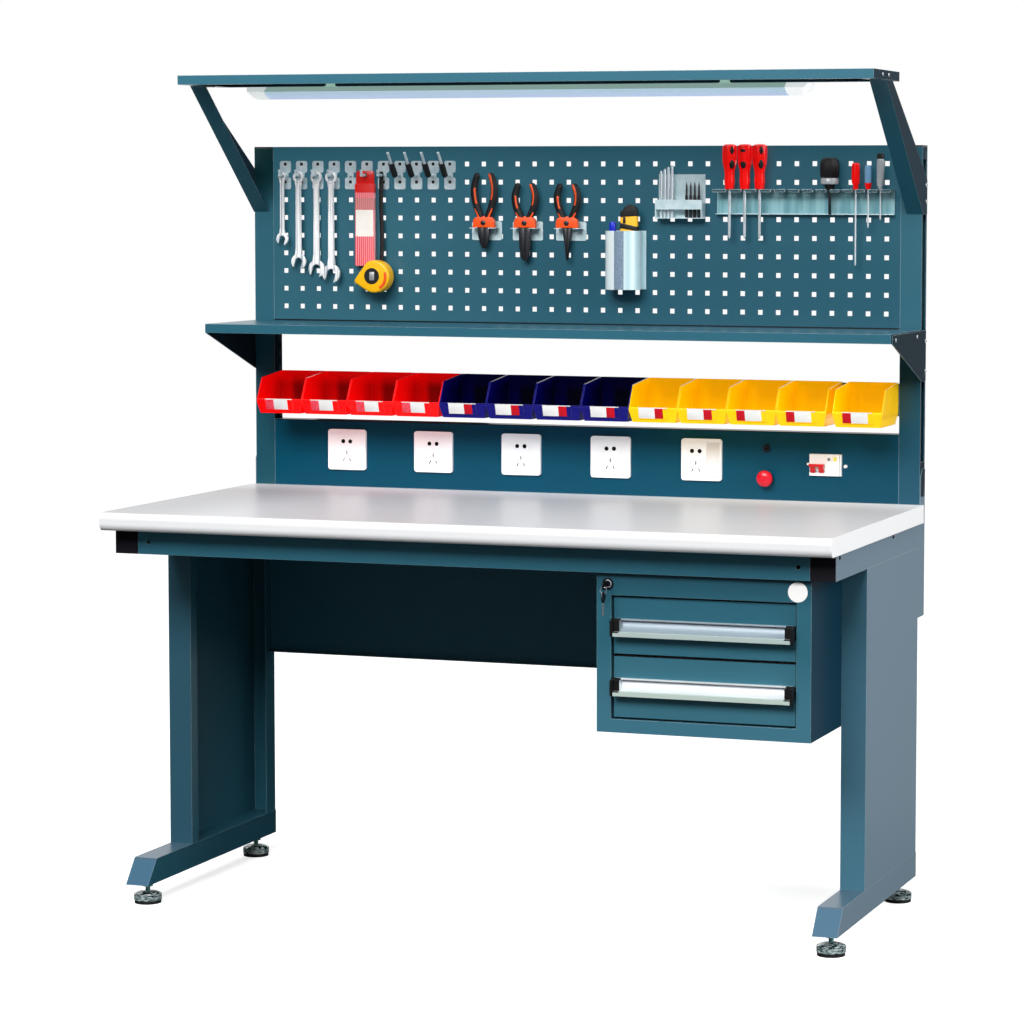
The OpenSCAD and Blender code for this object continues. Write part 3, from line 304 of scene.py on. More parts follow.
def foot_material():
    """Levelling foot: black rubber pad below, plated cup above with a painted reflection in dark and bright
    bands, and a threaded stem."""
    p = Paint("foot_chrome_and_rubber")
    rubber = p.z < 0.0072
    stem = p.z > 0.0252
    thread = (p.z * (2 * math.pi / 0.0015)).sin()
    # Painted reflection: dark and bright bands and white glints on the plated cup.
    painted_reflection = p.streaks(110, 110, 520, detail=3.0)
    band = (painted_reflection + (p.z > 0.0165) * 0.05 - 0.07).ramp(0.48, 0.5)
    bright = p.mix((255, 255, 255), (150, 176, 178), painted_reflection.ramp(0.3, 0.5))
    tint = p.mix(p.mix(bright, (10, 34, 38), band), (120, 206, 196), stem * 0.7)
    return p.finish(
        p.mix(tint, (12, 12, 14), rubber), 0.2 + rubber * 0.5, thread * stem, 0.0004, 0.0004,
        Metallic=0.3 * (1 - rubber))


def handle_material():
    """Anodised handle extrusion with fine lines along it, painted shade under its top lip and a painted
    highlight on its edges, between black end caps. The upper one is painted darker, as shade from the
    worktop."""
    p = Paint("handle_anodised")
    line = p.streaks(8, 1400, 1400)
    up = (p.z - HANDLE_Z * MM) % (HANDLE_PITCH * MM)
    upper = p.z > 0.6
    tint = p.mix((208, 216, 218), (226, 232, 234), line.ramp(0.3, 0.7))
    # Painted shade: the upper handle is darker, under the worktop.
    tint = p.mix(tint, (150, 166, 176), upper)
    # Painted shade under the top lip.
    tint = p.mix(tint, (126, 126, 150), up.ramp(0.019, 0.0305) * (up < 0.0307) * 0.55)
    tint = p.mix(tint, (188, 206, 198), (up < 0.0094) * (1 - upper * 0.3))
    # Painted highlight on the edges.
    tint = p.mix(tint, (236, 242, 244), p.edges(0.0008) * 0.8)
    out = abs(p.x - HANDLE_X * MM)
    dy = p.y + 0.328
    dz = up - 0.0305
    hollow = (dy * dy + dz * dz) ** 0.5 < 0.02345
    cap = (out > 0.17645).math("MAXIMUM", out > 0.17645, (out > 0.1645) * hollow)
    return p.finish(
        p.mix(tint, (12, 12, 14), cap), 0.34 + line * 0.1, line, 0.00002, 0.0004, Metallic=0.15 * (1 - cap))


def socket_plate_material():
    """White wall plates with a faint painted glow, and painted shade that blacks the insides of the pin
    holes.
    """
    p = Paint("socket_plate_white")
    off = (p.x - (PLATE_X - PLATE_PITCH / 2) * MM) % (PLATE_PITCH * MM) - PLATE_PITCH / 2 * MM
    # Painted shade: black inside the pin holes and behind the plates' faces.
    hole = (p.y > 0.3345) * (abs(off) < 0.034) * (abs(p.z - PLATE_Z * MM) < 0.034)
    dx = abs(off + (p.x > 0.23) * 0.012) - 0.0083
    dz = p.z - 0.913
    hole = hole.math("MAXIMUM", hole, (dx * dx + dz * dz) ** 0.5 < 0.0046)
    tint = p.mix(p.mix((246, 246, 246), (252, 252, 252), p.noise(9, 2.0)), (10, 10, 11), hole)
    # Painted light: a faint glow, none in the holes.
    return p.finish(
        tint, 0.28, p.noise(800, 1.0), 0.00001, 0.0006, Specular_IOR_Level=0.3,
        Emission_Color=p.mix((0.2, 0.2, 0.2, 1), (0, 0, 0, 1), hole))


def breaker_material():
    """White breaker body with a grey seam beside its right pole."""
    p = Paint("breaker_white")
    seam = abs(p.x - 0.5788) < 0.0005
    tint = p.mix((248, 248, 247), (150, 152, 156), seam)
    return p.finish(tint, 0.35, (p.noise(900, 1.0) * 0.02) - seam, 0.0003, 0.0005)


def key_material():
    """Spare key on its ring: black moulded bow, bright shaft and ring."""
    p = Paint("spare_key")
    dy = p.y + 0.338
    dz = p.z - 0.6816
    bow = ((dy * dy + dz * dz) ** 0.5 < 0.0112) * (abs(p.x - LOCK_X * MM) < 0.0016)
    grain = p.noise(600, 2.0)
    tint = p.mix(p.mix((176, 180, 184), (232, 234, 236), grain), (13, 12, 16), bow)
    return p.finish(tint, 0.2 + bow * 0.25, grain, 0.00003, 0.0003, Metallic=0.8 * (1 - bow))


def hook_material():
    """Zinc hook plates with a pressed square in each lobe, drawn as painted shade inside a painted highlight,
    and painted shade along the edges; the raised pins on the last four wear black sleeves."""
    p = Paint("zinc_hooks")
    dx = abs((p.x - (COLUMN_X - PITCH / 2) * MM) % (PITCH * MM) - PITCH / 2 * MM)
    slope = math.radians(40)
    out = (p.y - 0.310) * math.cos(slope) + (p.z - HANG_Z * MM) * math.sin(slope)
    away = (dx * dx + out * out) ** 0.5
    sleeve = (away > 0.0035) * (p.y < 0.3165) * (p.x > -0.42)
    patch = p.noise(90, 3.0)
    tint = p.mix(p.mix((178, 206, 216), (240, 248, 252), patch), (22, 22, 24), sleeve)
    dz = abs((p.z - 1.475 + PITCH / 2 * MM) % (PITCH * MM) - PITCH / 2 * MM)
    flat = (p.y > 0.3355) * (p.z < 1.53)
    # Painted highlight round each pressed square, and painted shade inside it.
    square_highlight = (dx < 0.0046) * (dz < 0.0046) * flat
    square_shade = (dx < 0.0034) * (dz < 0.0034) * flat
    tint = p.mix(p.mix(tint, (250, 254, 255), square_highlight), (20, 44, 54), square_shade)
    # Painted shade along the edges.
    tint = p.mix(tint, (90, 132, 146), p.edges(0.0013) * (1 - sleeve) * 0.7)
    return p.finish(
        tint, 0.3 + patch * 0.15 + sleeve * 0.2, p.noise(500, 2.0), 0.00003, 0.0005,
        Metallic=0.2 * (1 - sleeve))


def wrench_material():
    """Polished chrome with a painted reflection in bright and dark streaks down its length, and painted shade
    on its edges.
    """
    p = Paint("wrench_chrome")
    streak = p.streaks(330, 120, 5)
    # Painted reflection: bright and dark streaks.
    tint = p.mix((176, 184, 192), (255, 255, 255), streak.ramp(0.38, 0.46))
    # Painted shade on the edges.
    tint = p.mix(tint, (84, 92, 102), p.edges(0.001) * 0.6)
    return p.finish(tint, 0.16 + streak * 0.1, streak, 0.00001, 0.0004, Metallic=0.1)


def rack_material():
    """Pale sea-green zinc of the driver rack and the bit holder, with long streaks of painted reflection,
    painted shade on its part near the panel, and painted highlights on its edges.
    """
    p = Paint("rack_zinc")
    cloud = p.noise(18, 3.0)
    streak = p.streaks(60, 60, 6).ramp(0.35, 0.65)
    # Painted reflection: long streaks.
    tint = p.mix((96, 158, 170), (166, 212, 218), cloud * 0.4 + streak * 0.6)
    # Painted shade near the panel.
    tint = p.mix(tint, (46, 84, 96), (p.y > 0.3) * (p.y < 0.336) * (p.z > 1.42))
    # Painted highlight on the edges.
    tint = p.mix(tint, (246, 254, 255), p.edges(0.0022))
    return p.finish(tint, 0.24 + cloud * 0.12, p.noise(400, 2.0), 0.00002, 0.0005, Metallic=0.1)


def holder_material():
    """Zinc of the plier ledges and the pen cup; the cup's rounded front has a painted reflection, a speckled
    dark band between bright ones, and the edges carry a painted highlight."""
    p = Paint("holder_zinc")
    cloud = p.noise(60, 3.0)
    tint = p.mix((172, 206, 214), (232, 246, 248), cloud)
    cup = p.box_mask((0.1135, 0, 1.312), (0.046, None, 0.0625))
    speckle = p.noise(700, 2.0).ramp(0.35, 0.65)
    # Painted reflection on the cup's rounded front.
    front = p.mix((238, 250, 252), (198, 226, 232), p.x.ramp(0.116, 0.135))
    front = p.mix(
        front, p.mix((96, 116, 138), (150, 172, 190), speckle),
        p.x.ramp(0.1035, 0.1055) * (1 - p.x.ramp(0.124, 0.127)))
    tint = p.mix(tint, front, cup * (p.facing()[1] < -0.05))
    # Painted highlight on the edges.
    tint = p.mix(tint, (250, 255, 255), p.edges(0.0012) * 0.6)
    return p.finish(tint, 0.26 + cloud * 0.1, cloud, 0.00002, 0.0005, Metallic=0.15)


def rod_pack_material():
    """Box of welding rods: solid red top, pink ribbed window with a plain pale label."""
    p = Paint("rod_pack")
    rib = (p.x * (2 * math.pi / 0.0046)).sin() * 0.5 + 0.5
    window = p.mix((232, 86, 100), (255, 176, 180), rib ** 3)
    smoky = p.mix((190, 96, 96), (222, 150, 148), rib)
    label = p.mix((250, 246, 238), (238, 230, 222), p.noise(60, 2.0))
    tint = p.mix(window, smoky, p.box_mask((0, 0, 1.428), (None, None, 0.013)))
    tint = p.mix(tint, label, p.box_mask((-0.48125, 0, 1.3865), (0.0205, None, 0.0285)))
    tint = p.mix(tint, (226, 30, 28), p.z > 1.452)
    return p.finish(tint, 0.25, rib * (p.z < 1.452), 0.0002, 0.0004, Coat_Weight=0.2)


def lamp_cover_material():
    """Milky lamp cover, faintly streaked, between plain white end caps. Cover and caps carry a painted glow
    that stands in for light, bluer low on the cover and weaker on the left cap.
    """
    p = Paint("lamp_cover_milky")
    cap = abs(p.x + 0.0155) > 0.561
    streak = p.streaks(3, 60, 60)
    milky = p.mix((196, 218, 234), (214, 232, 244), streak)
    tint = p.mix(milky, (248, 249, 249), cap)
    # Painted light: a glow on the cover and caps, though the lamp is off.
    low = p.z < 1.652
    cover_painted_glow = p.mix((0.27, 0.38, 0.46, 1), (0.3, 0.37, 0.52, 1), low)
    glow = p.mix(cover_painted_glow, p.mix((0.5, 0.54, 0.53, 1), (0.64, 0.66, 0.66, 1), p.x > 0), cap)
    return p.finish(tint, 0.4, streak, 0.00005, 0.0006, Specular_IOR_Level=0.25, Emission_Color=glow)


def bin_paint(name, color, body, glow, deep):
    """Glossy bin plastic with flow marks from the gate and a painted highlight on its wall edges. A painted
    glow lightens the outside and the inside, and painted shade darkens the inside towards its back."""
    p = Paint(name)
    flow = p.streaks(16, 50, 16)
    tint = p.mix(shade(color, 0.9), shade(color, 1.06), flow)
    rise = p.z - BIN_Z * MM
    nose = (BIN_Y - BIN_LEN + BIN_LEAN) * MM - rise * (BIN_LEAN / BIN_FRONT)
    along = p.x - (BIN_X - BIN_PITCH / 2) * MM - (p.x > 0.62) * (LAST_BIN_GAP * MM)
    off = along % (BIN_PITCH * MM) - BIN_PITCH / 2 * MM
    inside = (abs(off) < 0.0507) * (p.y > nose + 0.0017) * (p.y < 0.33775) * (rise > 0.0017)
    # Painted shade: the inside darkens towards its back wall.
    back = (p.y > 0.3365) * off.ramp(-0.05, -0.015)
    shadow = back.math(
        "MAXIMUM", back, p.y.ramp(0.25, 0.345) * 0.6) * (1 - rise.ramp(0.05, 0.09)) * inside * deep
    tint = p.mix(tint, shade(color, 0.03), shadow)
    # Painted highlight on the wall edges.
    rim_highlight = tuple(min(1, c * 0.9 + 0.12) for c in color[:3]) + (1,)
    tint = p.mix(tint, rim_highlight, p.edges(0.0009) * 0.8)
    # Painted light: a glow outside and inside, none where the painted shade lies.
    light = p.mix(p.mix(shade(color, body), shade(color, glow), inside), (0, 0, 0, 1), shadow)
    return p.finish(
        tint, 0.22 + flow * 0.08, p.noise(700, 1.0), 0.00003, 0.0007, Specular_IOR_Level=0.22,
        Emission_Color=light)


def card_paint():
    """Red end of a card with a fine pale pattern."""
    p = Paint("bin_card_patterned_red")
    fleck = p.streaks(420, 420, 700).ramp(0.46, 0.56)
    return p.finish(p.mix((246, 30, 52), (250, 96, 120), fleck), 0.5, fleck, 0.00001)


# Near-black painted shadow in joints and gaps between parts.
JOINT_SHADOW = (4, 8, 12)
TEAL = powder_coat("teal_powder_coat", linear(40, 94, 112))
# Painted shade: darker towards the right, with painted shadow along the top joint.
STRIP_TEAL = powder_coat(
    "deep_blue_powder_coat", linear(4, 74, 98), 0.28, 0.2,
    marks=[(lambda p: p.x.ramp(0.2, 0.7), (4, 66, 88)), (lambda p: p.z > 0.9562, JOINT_SHADOW)])
# Painted light and shade: darker to the right, shadow along the bottom joint, highlight on side folds, glow
# near the top.
PANEL_TEAL = powder_coat(
    "tool_panel_powder_coat", linear(46, 97, 113),
    marks=[(lambda p: p.x.ramp(-0.5, 0.1), (32, 84, 101)), (lambda p: p.z < 1.1768, JOINT_SHADOW)],
    fold=lambda p: abs(p.x) > 0.69, lift=lambda p: p.z.ramp(1.3, 1.56) * 1.2)
# Painted light: front faces recoloured, the right leg's paler; painted shadow in the joint under the side
# rail.
LEG_TEAL = powder_coat(
    "leg_powder_coat", linear(40, 94, 112),
    marks=[(lambda p: p.y < -0.0885, (44, 84, 101)),
           (lambda p: (p.x > 0) * (p.y < -0.0885), (68, 114, 134)),
           (lambda p: p.z > 0.7252, JOINT_SHADOW)])
# Painted shade below the shelf on the right post and from the arm atop the left post; painted light above the
# shelf.
POST_TEAL = powder_coat(
    "post_powder_coat", linear(26, 80, 96),
    marks=[(lambda p: (p.x > 0) * (p.z < 1.15), (14, 74, 96)),
           (lambda p: p.z.ramp(1.12, 1.2), (42, 95, 112)),
           (lambda p: (p.x < 0) * p.z.ramp(1.41, 1.5), (13, 58, 62))])
# Painted light: the front slants and the top faces are paler.
FOOT_TEAL = powder_coat(
    "foot_beam_powder_coat", linear(34, 86, 104),
    marks=[(lambda p: (p.y < -0.2) * (p.facing()[1] < -0.3), (62, 101, 126)),
           (lambda p: (p.y < -0.09) * (p.facing()[2] > 0.3) * (p.z > 0.09), (70, 98, 116))])
# Painted light: a faint glow lightens the front.
CANOPY_TEAL = powder_coat("canopy_powder_coat", linear(46, 98, 116), lift=lambda p: (p.y < -0.035) * 0.55)
# Painted highlight on the front folds only, and painted shade darkening it upwards under the worktop.
CABINET_TEAL = powder_coat(
    "cabinet_powder_coat", linear(58, 109, 128), fold=lambda p: p.y < -0.3095,
    marks=[(lambda p: p.z.ramp(0.46, 0.6), (42, 97, 114)), (lambda p: p.z.ramp(0.66, 0.72), (32, 78, 94))])
# Painted shade on the upper drawer from the worktop, and painted shadow in the gaps round both fronts.
DRAWER_TEAL = powder_coat(
    "drawer_powder_coat", linear(55, 108, 125), fold=lambda p: p.y > 0,
    marks=[(lambda p: p.z.ramp(0.52, 0.62), (42, 96, 114)),
           (lambda p: 1 - p.box_mask((0.486, 0, 0.6245), (0.1815, None, 0.0548))
            - p.box_mask((0.486, 0, 0.5055), (0.1815, None, 0.0588)), JOINT_SHADOW)])
SOCKET_TEAL = powder_coat("pale_blue_powder_coat", linear(62, 96, 112), 0.34)
LAMINATE = laminate()
CHIPBOARD = chipboard()
BLACK = plastic("black_moulding", linear(15, 13, 22), 0.45, 0.25)
WHITE = plastic("white_moulding", linear(248, 248, 248), 0.3, 0.3)
RED = plastic("red_moulding", linear(206, 16, 24), 0.25)
BUTTON_RED = plastic("button_red", linear(214, 20, 44), 0.22)
PALE_YELLOW = plastic("pale_yellow_moulding", linear(240, 228, 112), 0.35)
GREY = plastic("grey_moulding", linear(120, 124, 126), 0.4)
# Near-black, also painted shade: screw heads' hex sockets and the rod pack's hang hole; also the black flag.
DARK = plastic("dark_insides", linear(9, 9, 10), 0.6, 0.2)
# Bins: strengths of the painted glow outside and inside, and of the painted shade inside.
RED_BIN = bin_paint("red_bin_plastic", linear(250, 4, 6), 0.25, 0.3, 0.85)
BLUE_BIN = bin_paint("blue_bin_plastic", linear(4, 2, 116), 0.0, 0.0, 0.98)
YELLOW_BIN = bin_paint("yellow_bin_plastic", linear(255, 200, 0), 0.16, 0.35, 0.3)
CARD = plastic("bin_card_white", linear(244, 244, 242), 0.6, 0.2, 1500)
CARD_PINK = card_paint()
CARD_RED = plastic("bin_card_plain_red", linear(206, 4, 30), 0.5, 0.2, 1500)
ZINC = metal("zinc_plate", linear(206, 232, 240), 0.28, metallic=0.25)
BOLT_ZINC = metal("bolt_zinc", linear(190, 192, 194), 0.3, (300, 300, 300))
CHROME = metal("tool_chrome", linear(230, 238, 244), 0.18, (90, 90, 30), 0.000006, metallic=0.4)
NUT_ZINC = metal("nut_green_zinc", linear(96, 176, 168), 0.25, (300, 300, 500), metallic=0.3)
TOOL_STEEL = metal("dark_tool_steel", linear(52, 54, 58), 0.3, (300, 300, 120))
# Painted light: a faint glow lightens the lamp housing in the canopy's shade.
LAMP_METAL = plastic(
    "lamp_back_grey", linear(196, 216, 208), 0.35, 0.4, 400, Emission_Color=(0.2, 0.3, 0.26, 1))
# Painted light: a faint glow brightens the red grips.
GRIP_RED = plastic("grip_red", linear(240, 14, 10), 0.25, Emission_Color=(0.22, 0, 0, 1))
GRIP_BLACK = plastic("grip_black", linear(22, 22, 24), 0.5, 0.35, 500, 0.00006)
GRIP_ORANGE = plastic("grip_orange", linear(242, 84, 24), 0.35)
TAPE_YELLOW = plastic("tape_yellow", linear(250, 186, 12), 0.3)
BLUE = plastic("marker_blue", linear(18, 36, 190), 0.3)
CLEAR_GREY = plastic("smoky_clear_handle", linear(176, 182, 186), 0.12, 0.6)
SKY = plastic("sky_blue_handle", linear(128, 176, 216), 0.15, 0.6)


def dress_cad_nodes():
    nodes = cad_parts
    handle = handle_material()
    paints = {
        "worktop_core": CHIPBOARD, "worktop_laminate": LAMINATE, "tube_end_plugs": BLACK,
        "foot_jam_nuts": NUT_ZINC, "post_sockets": SOCKET_TEAL, "lamp_housing": LAMP_METAL,
        "lamp_cover": lamp_cover_material(), "socket_strip_housing": STRIP_TEAL,
        "socket_plates": socket_plate_material(), "rocker_switch": WHITE, "panel_fittings": BLACK,
        "red_push_button": BUTTON_RED, "breaker_body": breaker_material(), "breaker_toggle": RED,
        "test_button": PALE_YELLOW, "drawer_runners": ZINC, "lock_barrel": BLACK, "lock_key": BLACK,
        "spare_key": key_material(), "tool_panel": PANEL_TEAL, "legs": LEG_TEAL, "posts": POST_TEAL,
        "foot_beams": FOOT_TEAL, "canopy": CANOPY_TEAL, "cabinet_shell": CABINET_TEAL,
        "drawer_upper": DRAWER_TEAL, "drawer_lower": DRAWER_TEAL, "panel_hooks": hook_material(),
        "tool_holders": holder_material(), "driver_rack": rack_material(), "handle_upper": handle,
        "handle_lower": handle, }
    foot = foot_material()
    bins = {"red": RED_BIN, "blue": BLUE_BIN, "yellow": YELLOW_BIN}
    for name, obj in nodes.items():
        paint = paints.get(name, TEAL)
        if name.startswith(("foot_front", "foot_rear")):
            paint = foot
        if "_bin_" in name:
            paint = bins[name.split("_")[0]]
        for slot in obj.material_slots:
            slot.material = paint


class Shape:
    """A piece in the making: closed solids in millimetres, gathered into one mesh."""

    def __init__(self, name):
        self.name = name
        self.whole = bmesh.new()
        self.paints = []

    def add(self, points, faces, paint, bevel=0.0, steps=2, sharp=30):
        part = bmesh.new()
        verts = [part.verts.new(point) for point in points]
        for face in faces:
            if len(set(face)) > 2:
                part.faces.new([verts[i] for i in dict.fromkeys(face)])
        bmesh.ops.remove_doubles(part, verts=part.verts, dist=0.001)
        bmesh.ops.recalc_face_normals(part, faces=part.faces)
        if bevel:
            edges = [e for e in part.edges if e.is_manifold and e.calc_face_angle(0) > math.radians(sharp)]
            bmesh.ops.bevel(part, geom=edges, offset=bevel, segments=steps, profile=0.5, affect="EDGES",
                            clamp_overlap=True)
        if paint not in self.paints:
            self.paints.append(paint)
        for face in part.faces:
            face.material_index = self.paints.index(paint)
        mesh = bpy.data.meshes.new("part")
        part.to_mesh(mesh)
        self.whole.from_mesh(mesh)
        bpy.data.meshes.remove(mesh)

    def prism(self, outline, axis, start, length, paint, bevel=0.0, steps=2):
        """An outline in the two other axes, extruded along one axis."""
        place = {"x": lambda u, v, w: (w, u, v), "y": lambda u, v, w: (u, w, v), "z": lambda u, v,
                 w: (u, v, w)}[axis]
        n = len(outline)
        points = [place(u, v, start) for u, v in outline] + [place(u, v, start + length) for u, v in outline]
        faces = [list(range(n)), list(range(n, 2 * n))]
        faces += [[i, (i + 1) % n, n + (i + 1) % n, n + i] for i in range(n)]
        self.add(points, faces, paint, bevel, steps)

    def loft(self, rings, paint, closed=False):
        """Skin over rings of equal counts; the first and last are capped unless closed joins them."""
        n = len(rings[0])
        points = [point for ring in rings for point in ring]
        faces = []
        for k in range(len(rings) - (0 if closed else 1)):
            a, b = k * n, (k + 1) % len(rings) * n
            faces += [[a + i, a + (i + 1) % n, b + (i + 1) % n, b + i] for i in range(n)]
        if not closed:
            faces += [list(range(n)), list(range(len(points) - n, len(points)))]
        self.add(points, faces, paint)

    def turned(self, centre, axis, profile, paint, sides=32, lobes=0, depth=0.0, lobe_span=(0, 0)):
        """A profile of (distance along the axis, radius) turned about an axis; lobes flute it within a
        span."""
        rings = []
        for along, radius in profile:
            ring = []
            fluted = lobes and lobe_span[0] <= along <= lobe_span[1]
            for i in range(sides):
                angle = 2 * math.pi * i / sides
                r = max(radius, 0.01) * (1 - depth * (0.5 + 0.5 * math.cos(lobes * angle)) if fluted else 1)
                u, v = r * math.cos(angle), r * math.sin(angle)
                offset = {"x": (along, u, v), "y": (u, along, v), "z": (u, v, along)}[axis]
                ring.append(tuple(c + o for c, o in zip(centre, offset)))
            rings.append(ring)
        self.loft(rings, paint)

    def tube(self, path, radii, paint, sides=14, flat=1.0):
        """A round or flattened tube along points, whose cross-section is widest in X when flat is under 1."""
        points = [Vector(p) for p in path]
        rings = []
        for k, point in enumerate(points):
            ahead = (points[min(k + 1, len(points) - 1)] - points[max(k - 1, 0)]).normalized()
            side = ahead.cross(Vector((0, 1, 0)))
            side = side.normalized() if side.length > 0.01 else Vector((1, 0, 0))
            depth = side.cross(ahead).normalized()
            r = radii[k] if isinstance(radii, (list, tuple)) else radii
            ring = []
            for i in range(sides):
                angle = 2 * math.pi * i / sides
                across, through = r * math.cos(angle), r * flat * math.sin(angle)
                ring.append(tuple(point + side * across + depth * through))
            rings.append(ring)
        self.loft(rings, paint)

    def done(self, body, slot=None, replaces=()):
        mesh = bpy.data.meshes.new(self.name)
        bmesh.ops.scale(self.whole, vec=(MM, MM, MM), verts=self.whole.verts)
        self.whole.to_mesh(mesh)
        self.whole.free()
        for paint in self.paints:
            mesh.materials.append(paint)
        mesh.shade_smooth()
        mesh.set_sharp_from_angle(angle=math.radians(38))
        piece = bpy.data.objects.new(self.name, mesh)
        bpy.context.scene.collection.objects.link(piece)
        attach(piece, body)
        if replaces:
            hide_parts(*replaces)


def curve(points, steps=6):
    """A smooth run of points through a few given ones."""
    out = []
    for k in range(len(points) - 1):
        a, b, c, d = (Vector(points[max(0, min(len(points) - 1, k + j))]) for j in (-1, 0, 1, 2))
        for i in range(steps):
            t = i / steps
            out.append(tuple(0.5 * (2 * b + (c - a) * t + (2 * a - 5 * b + 4 * c - d) * t * t
                                    + (3 * b - a - 3 * c + d) * t ** 3)))
    return out + [tuple(points[-1])]


def arc(cx, cz, r, start, end, steps=10):
    return [(cx + r * math.cos(math.radians(start + (end - start) * i / steps)),
             cz + r * math.sin(math.radians(start + (end - start) * i / steps))) for i in range(steps + 1)]


def circle(x, y, z, r, sides):
    """Points round a circle that faces the front."""
    return [(x + r * math.cos(2 * math.pi * k / sides), y, z + r * math.sin(2 * math.pi * k / sides))
            for k in range(sides)]


def rounded(x0, z0, x1, z1, r, steps=4):
    """Outline of a rectangle with rounded corners."""
    return (arc(x1 - r, z0 + r, r, -90, 0, steps) + arc(x1 - r, z1 - r, r, 0, 90, steps)
            + arc(x0 + r, z1 - r, r, 90, 180, steps) + arc(x0 + r, z0 + r, r, 180, 270, steps))


def bin_cards():
    """A card in the leaning holder on the front of every bin: part white, part red, under a white strip."""
    counts = {"red": 4, "blue": 4, "yellow": 5}
    names = ["%s_bin_%d" % (colour, i + 1) for colour, count in counts.items() for i in range(count)]

    def leaning(low, high, out):
        y_low, y_high = (BIN_Y - BIN_LEN + BIN_LEAN * (1 - z / BIN_FRONT) - 2 for z in (low, high))
        return [(y_high - out, BIN_Z + high), (y_high + 0.1, BIN_Z + high), (y_low + 0.1, BIN_Z + low),
                (y_low - out, BIN_Z + low)]

    card = leaning(BIN_FRONT - 19.5, BIN_FRONT + 2.5, 0.5)
    strip = leaning(BIN_FRONT + 1.7, BIN_FRONT + 3.5, 0.7)
    for i, name in enumerate(names):
        middle = BIN_X + BIN_PITCH * i + (LAST_BIN_GAP if i == 12 else 0)
        shape = Shape(name + "_card")
        parts = ((-31, -12, CARD_PINK), (-12, 20, CARD))
        if i > 3:
            parts = ((-31, 4, CARD), (4, 22, CARD_RED)) if i < 10 else ((-31, -13, CARD_RED), (-13, 22, CARD))
        for x0, x1, paint in parts:
            shape.prism(card, "x", middle + x0, x1 - x0, paint, 0.15, 1)
        shape.prism(strip, "x", middle - 31.5, 63, CARD, 0.15, 1)
        shape.done(name, name.split("_")[0] + "_plastic")


def pliers():
    """Three pairs of pliers with curved dipped grips, orange cheeks and dark jaws."""
    y = POST_Y - 17
    kinds = ((-204, 118, "wide"), (-111, 96, "blunt"), (-16, 95, "long"))
    shape = Shape("pliers_on_panel")
    for x, grip, kind in kinds:
        z = LEDGE_Z
        top = grip / 118
        for s in (-1, 1):
            path = [(s * 14, 118), (s * 19, 104), (s * 23, 84), (s * 21, 62), (s * 15, 42), (s * 9, 28),
                    (s * 5, 16)]
            run = curve([(x + u, y, z + v * top) for u, v in path], 5)
            n = len(run)
            radii = [5.2 + 3.0 * math.sin(math.pi * min(1, 0.12 + 0.8 * k / n)) for k in range(n)]
            radii[0] = 2.6
            radii[1] = 4.4
            shape.tube(run, radii, GRIP_BLACK, 14, 0.75)
            inlay = run[1:int(n * 0.55)] if s > 0 else run[int(n * 0.3):int(n * 0.62)]
            shape.tube([(u - s * 2.2, w - 4.4, v) for u, w, v in inlay],
                       [1.2] + [2.9] * (len(inlay) - 2) + [1.2], GRIP_ORANGE, 10, 0.6)
            low = run[int(n * 0.62):int(n * 0.92)]
            shape.tube([(u + s * 3.2, w - 4.0, v) for u, w, v in low],
                       [1.0] + [2.6] * (len(low) - 2) + [1.0], GRIP_ORANGE, 10, 0.6)
        cheek = ([(x - 25, z + 2)] + arc(x - 12, z + 12, 13, 150, 60, 6) + [(x, z + 27)]
                 + arc(x + 12, z + 12, 13, 120, 30, 6) + [(x + 25, z + 2)])
        shape.prism(cheek, "y", y - 7, 12, GRIP_ORANGE, 1.6, 3)
        shape.turned(
            (x, y - 8.4, z + 12), "y", [(0, 0), (0, 4.6), (0.6, 5.4), (3, 5.4), (3, 0)], TOOL_STEEL, 20)
        width = 12 if kind != "long" else 9
        nose = {
            "wide": [(-width, 2), (-13, -14), (-9, -30), (-3.5, -42), (3.5, -42), (9, -30), (13, -14),
            (width, 2)], "blunt": [(-width, 2), (-13, -16), (-12, -40), (-8, -62), (-3, -68), (3, -68),
            (8, -62), (12, -40), (13, -16), (width, 2)], "long": [(-width, 2), (-8, -14), (-4.5, -36),
            (-1.6, -66), (1.6, -66), (4.5, -36), (8, -14), (width, 2)], }[kind]
        for s in (-1, 1):
            half = [(x + u + s * 0.25, z + v) for u, v in nose if u * s >= 0]
            half = half + [(x + s * 0.25, z + 2), (x + s * 0.25, z + nose[len(nose) // 2][1])]
            if s < 0:
                half = half[:-2] + [half[-1], half[-2]]
            shape.prism(half, "y", y - 4.5, 8, TOOL_STEEL, 0.8, 2)
    shape.done("bench", "tool_black", ["pliers"])


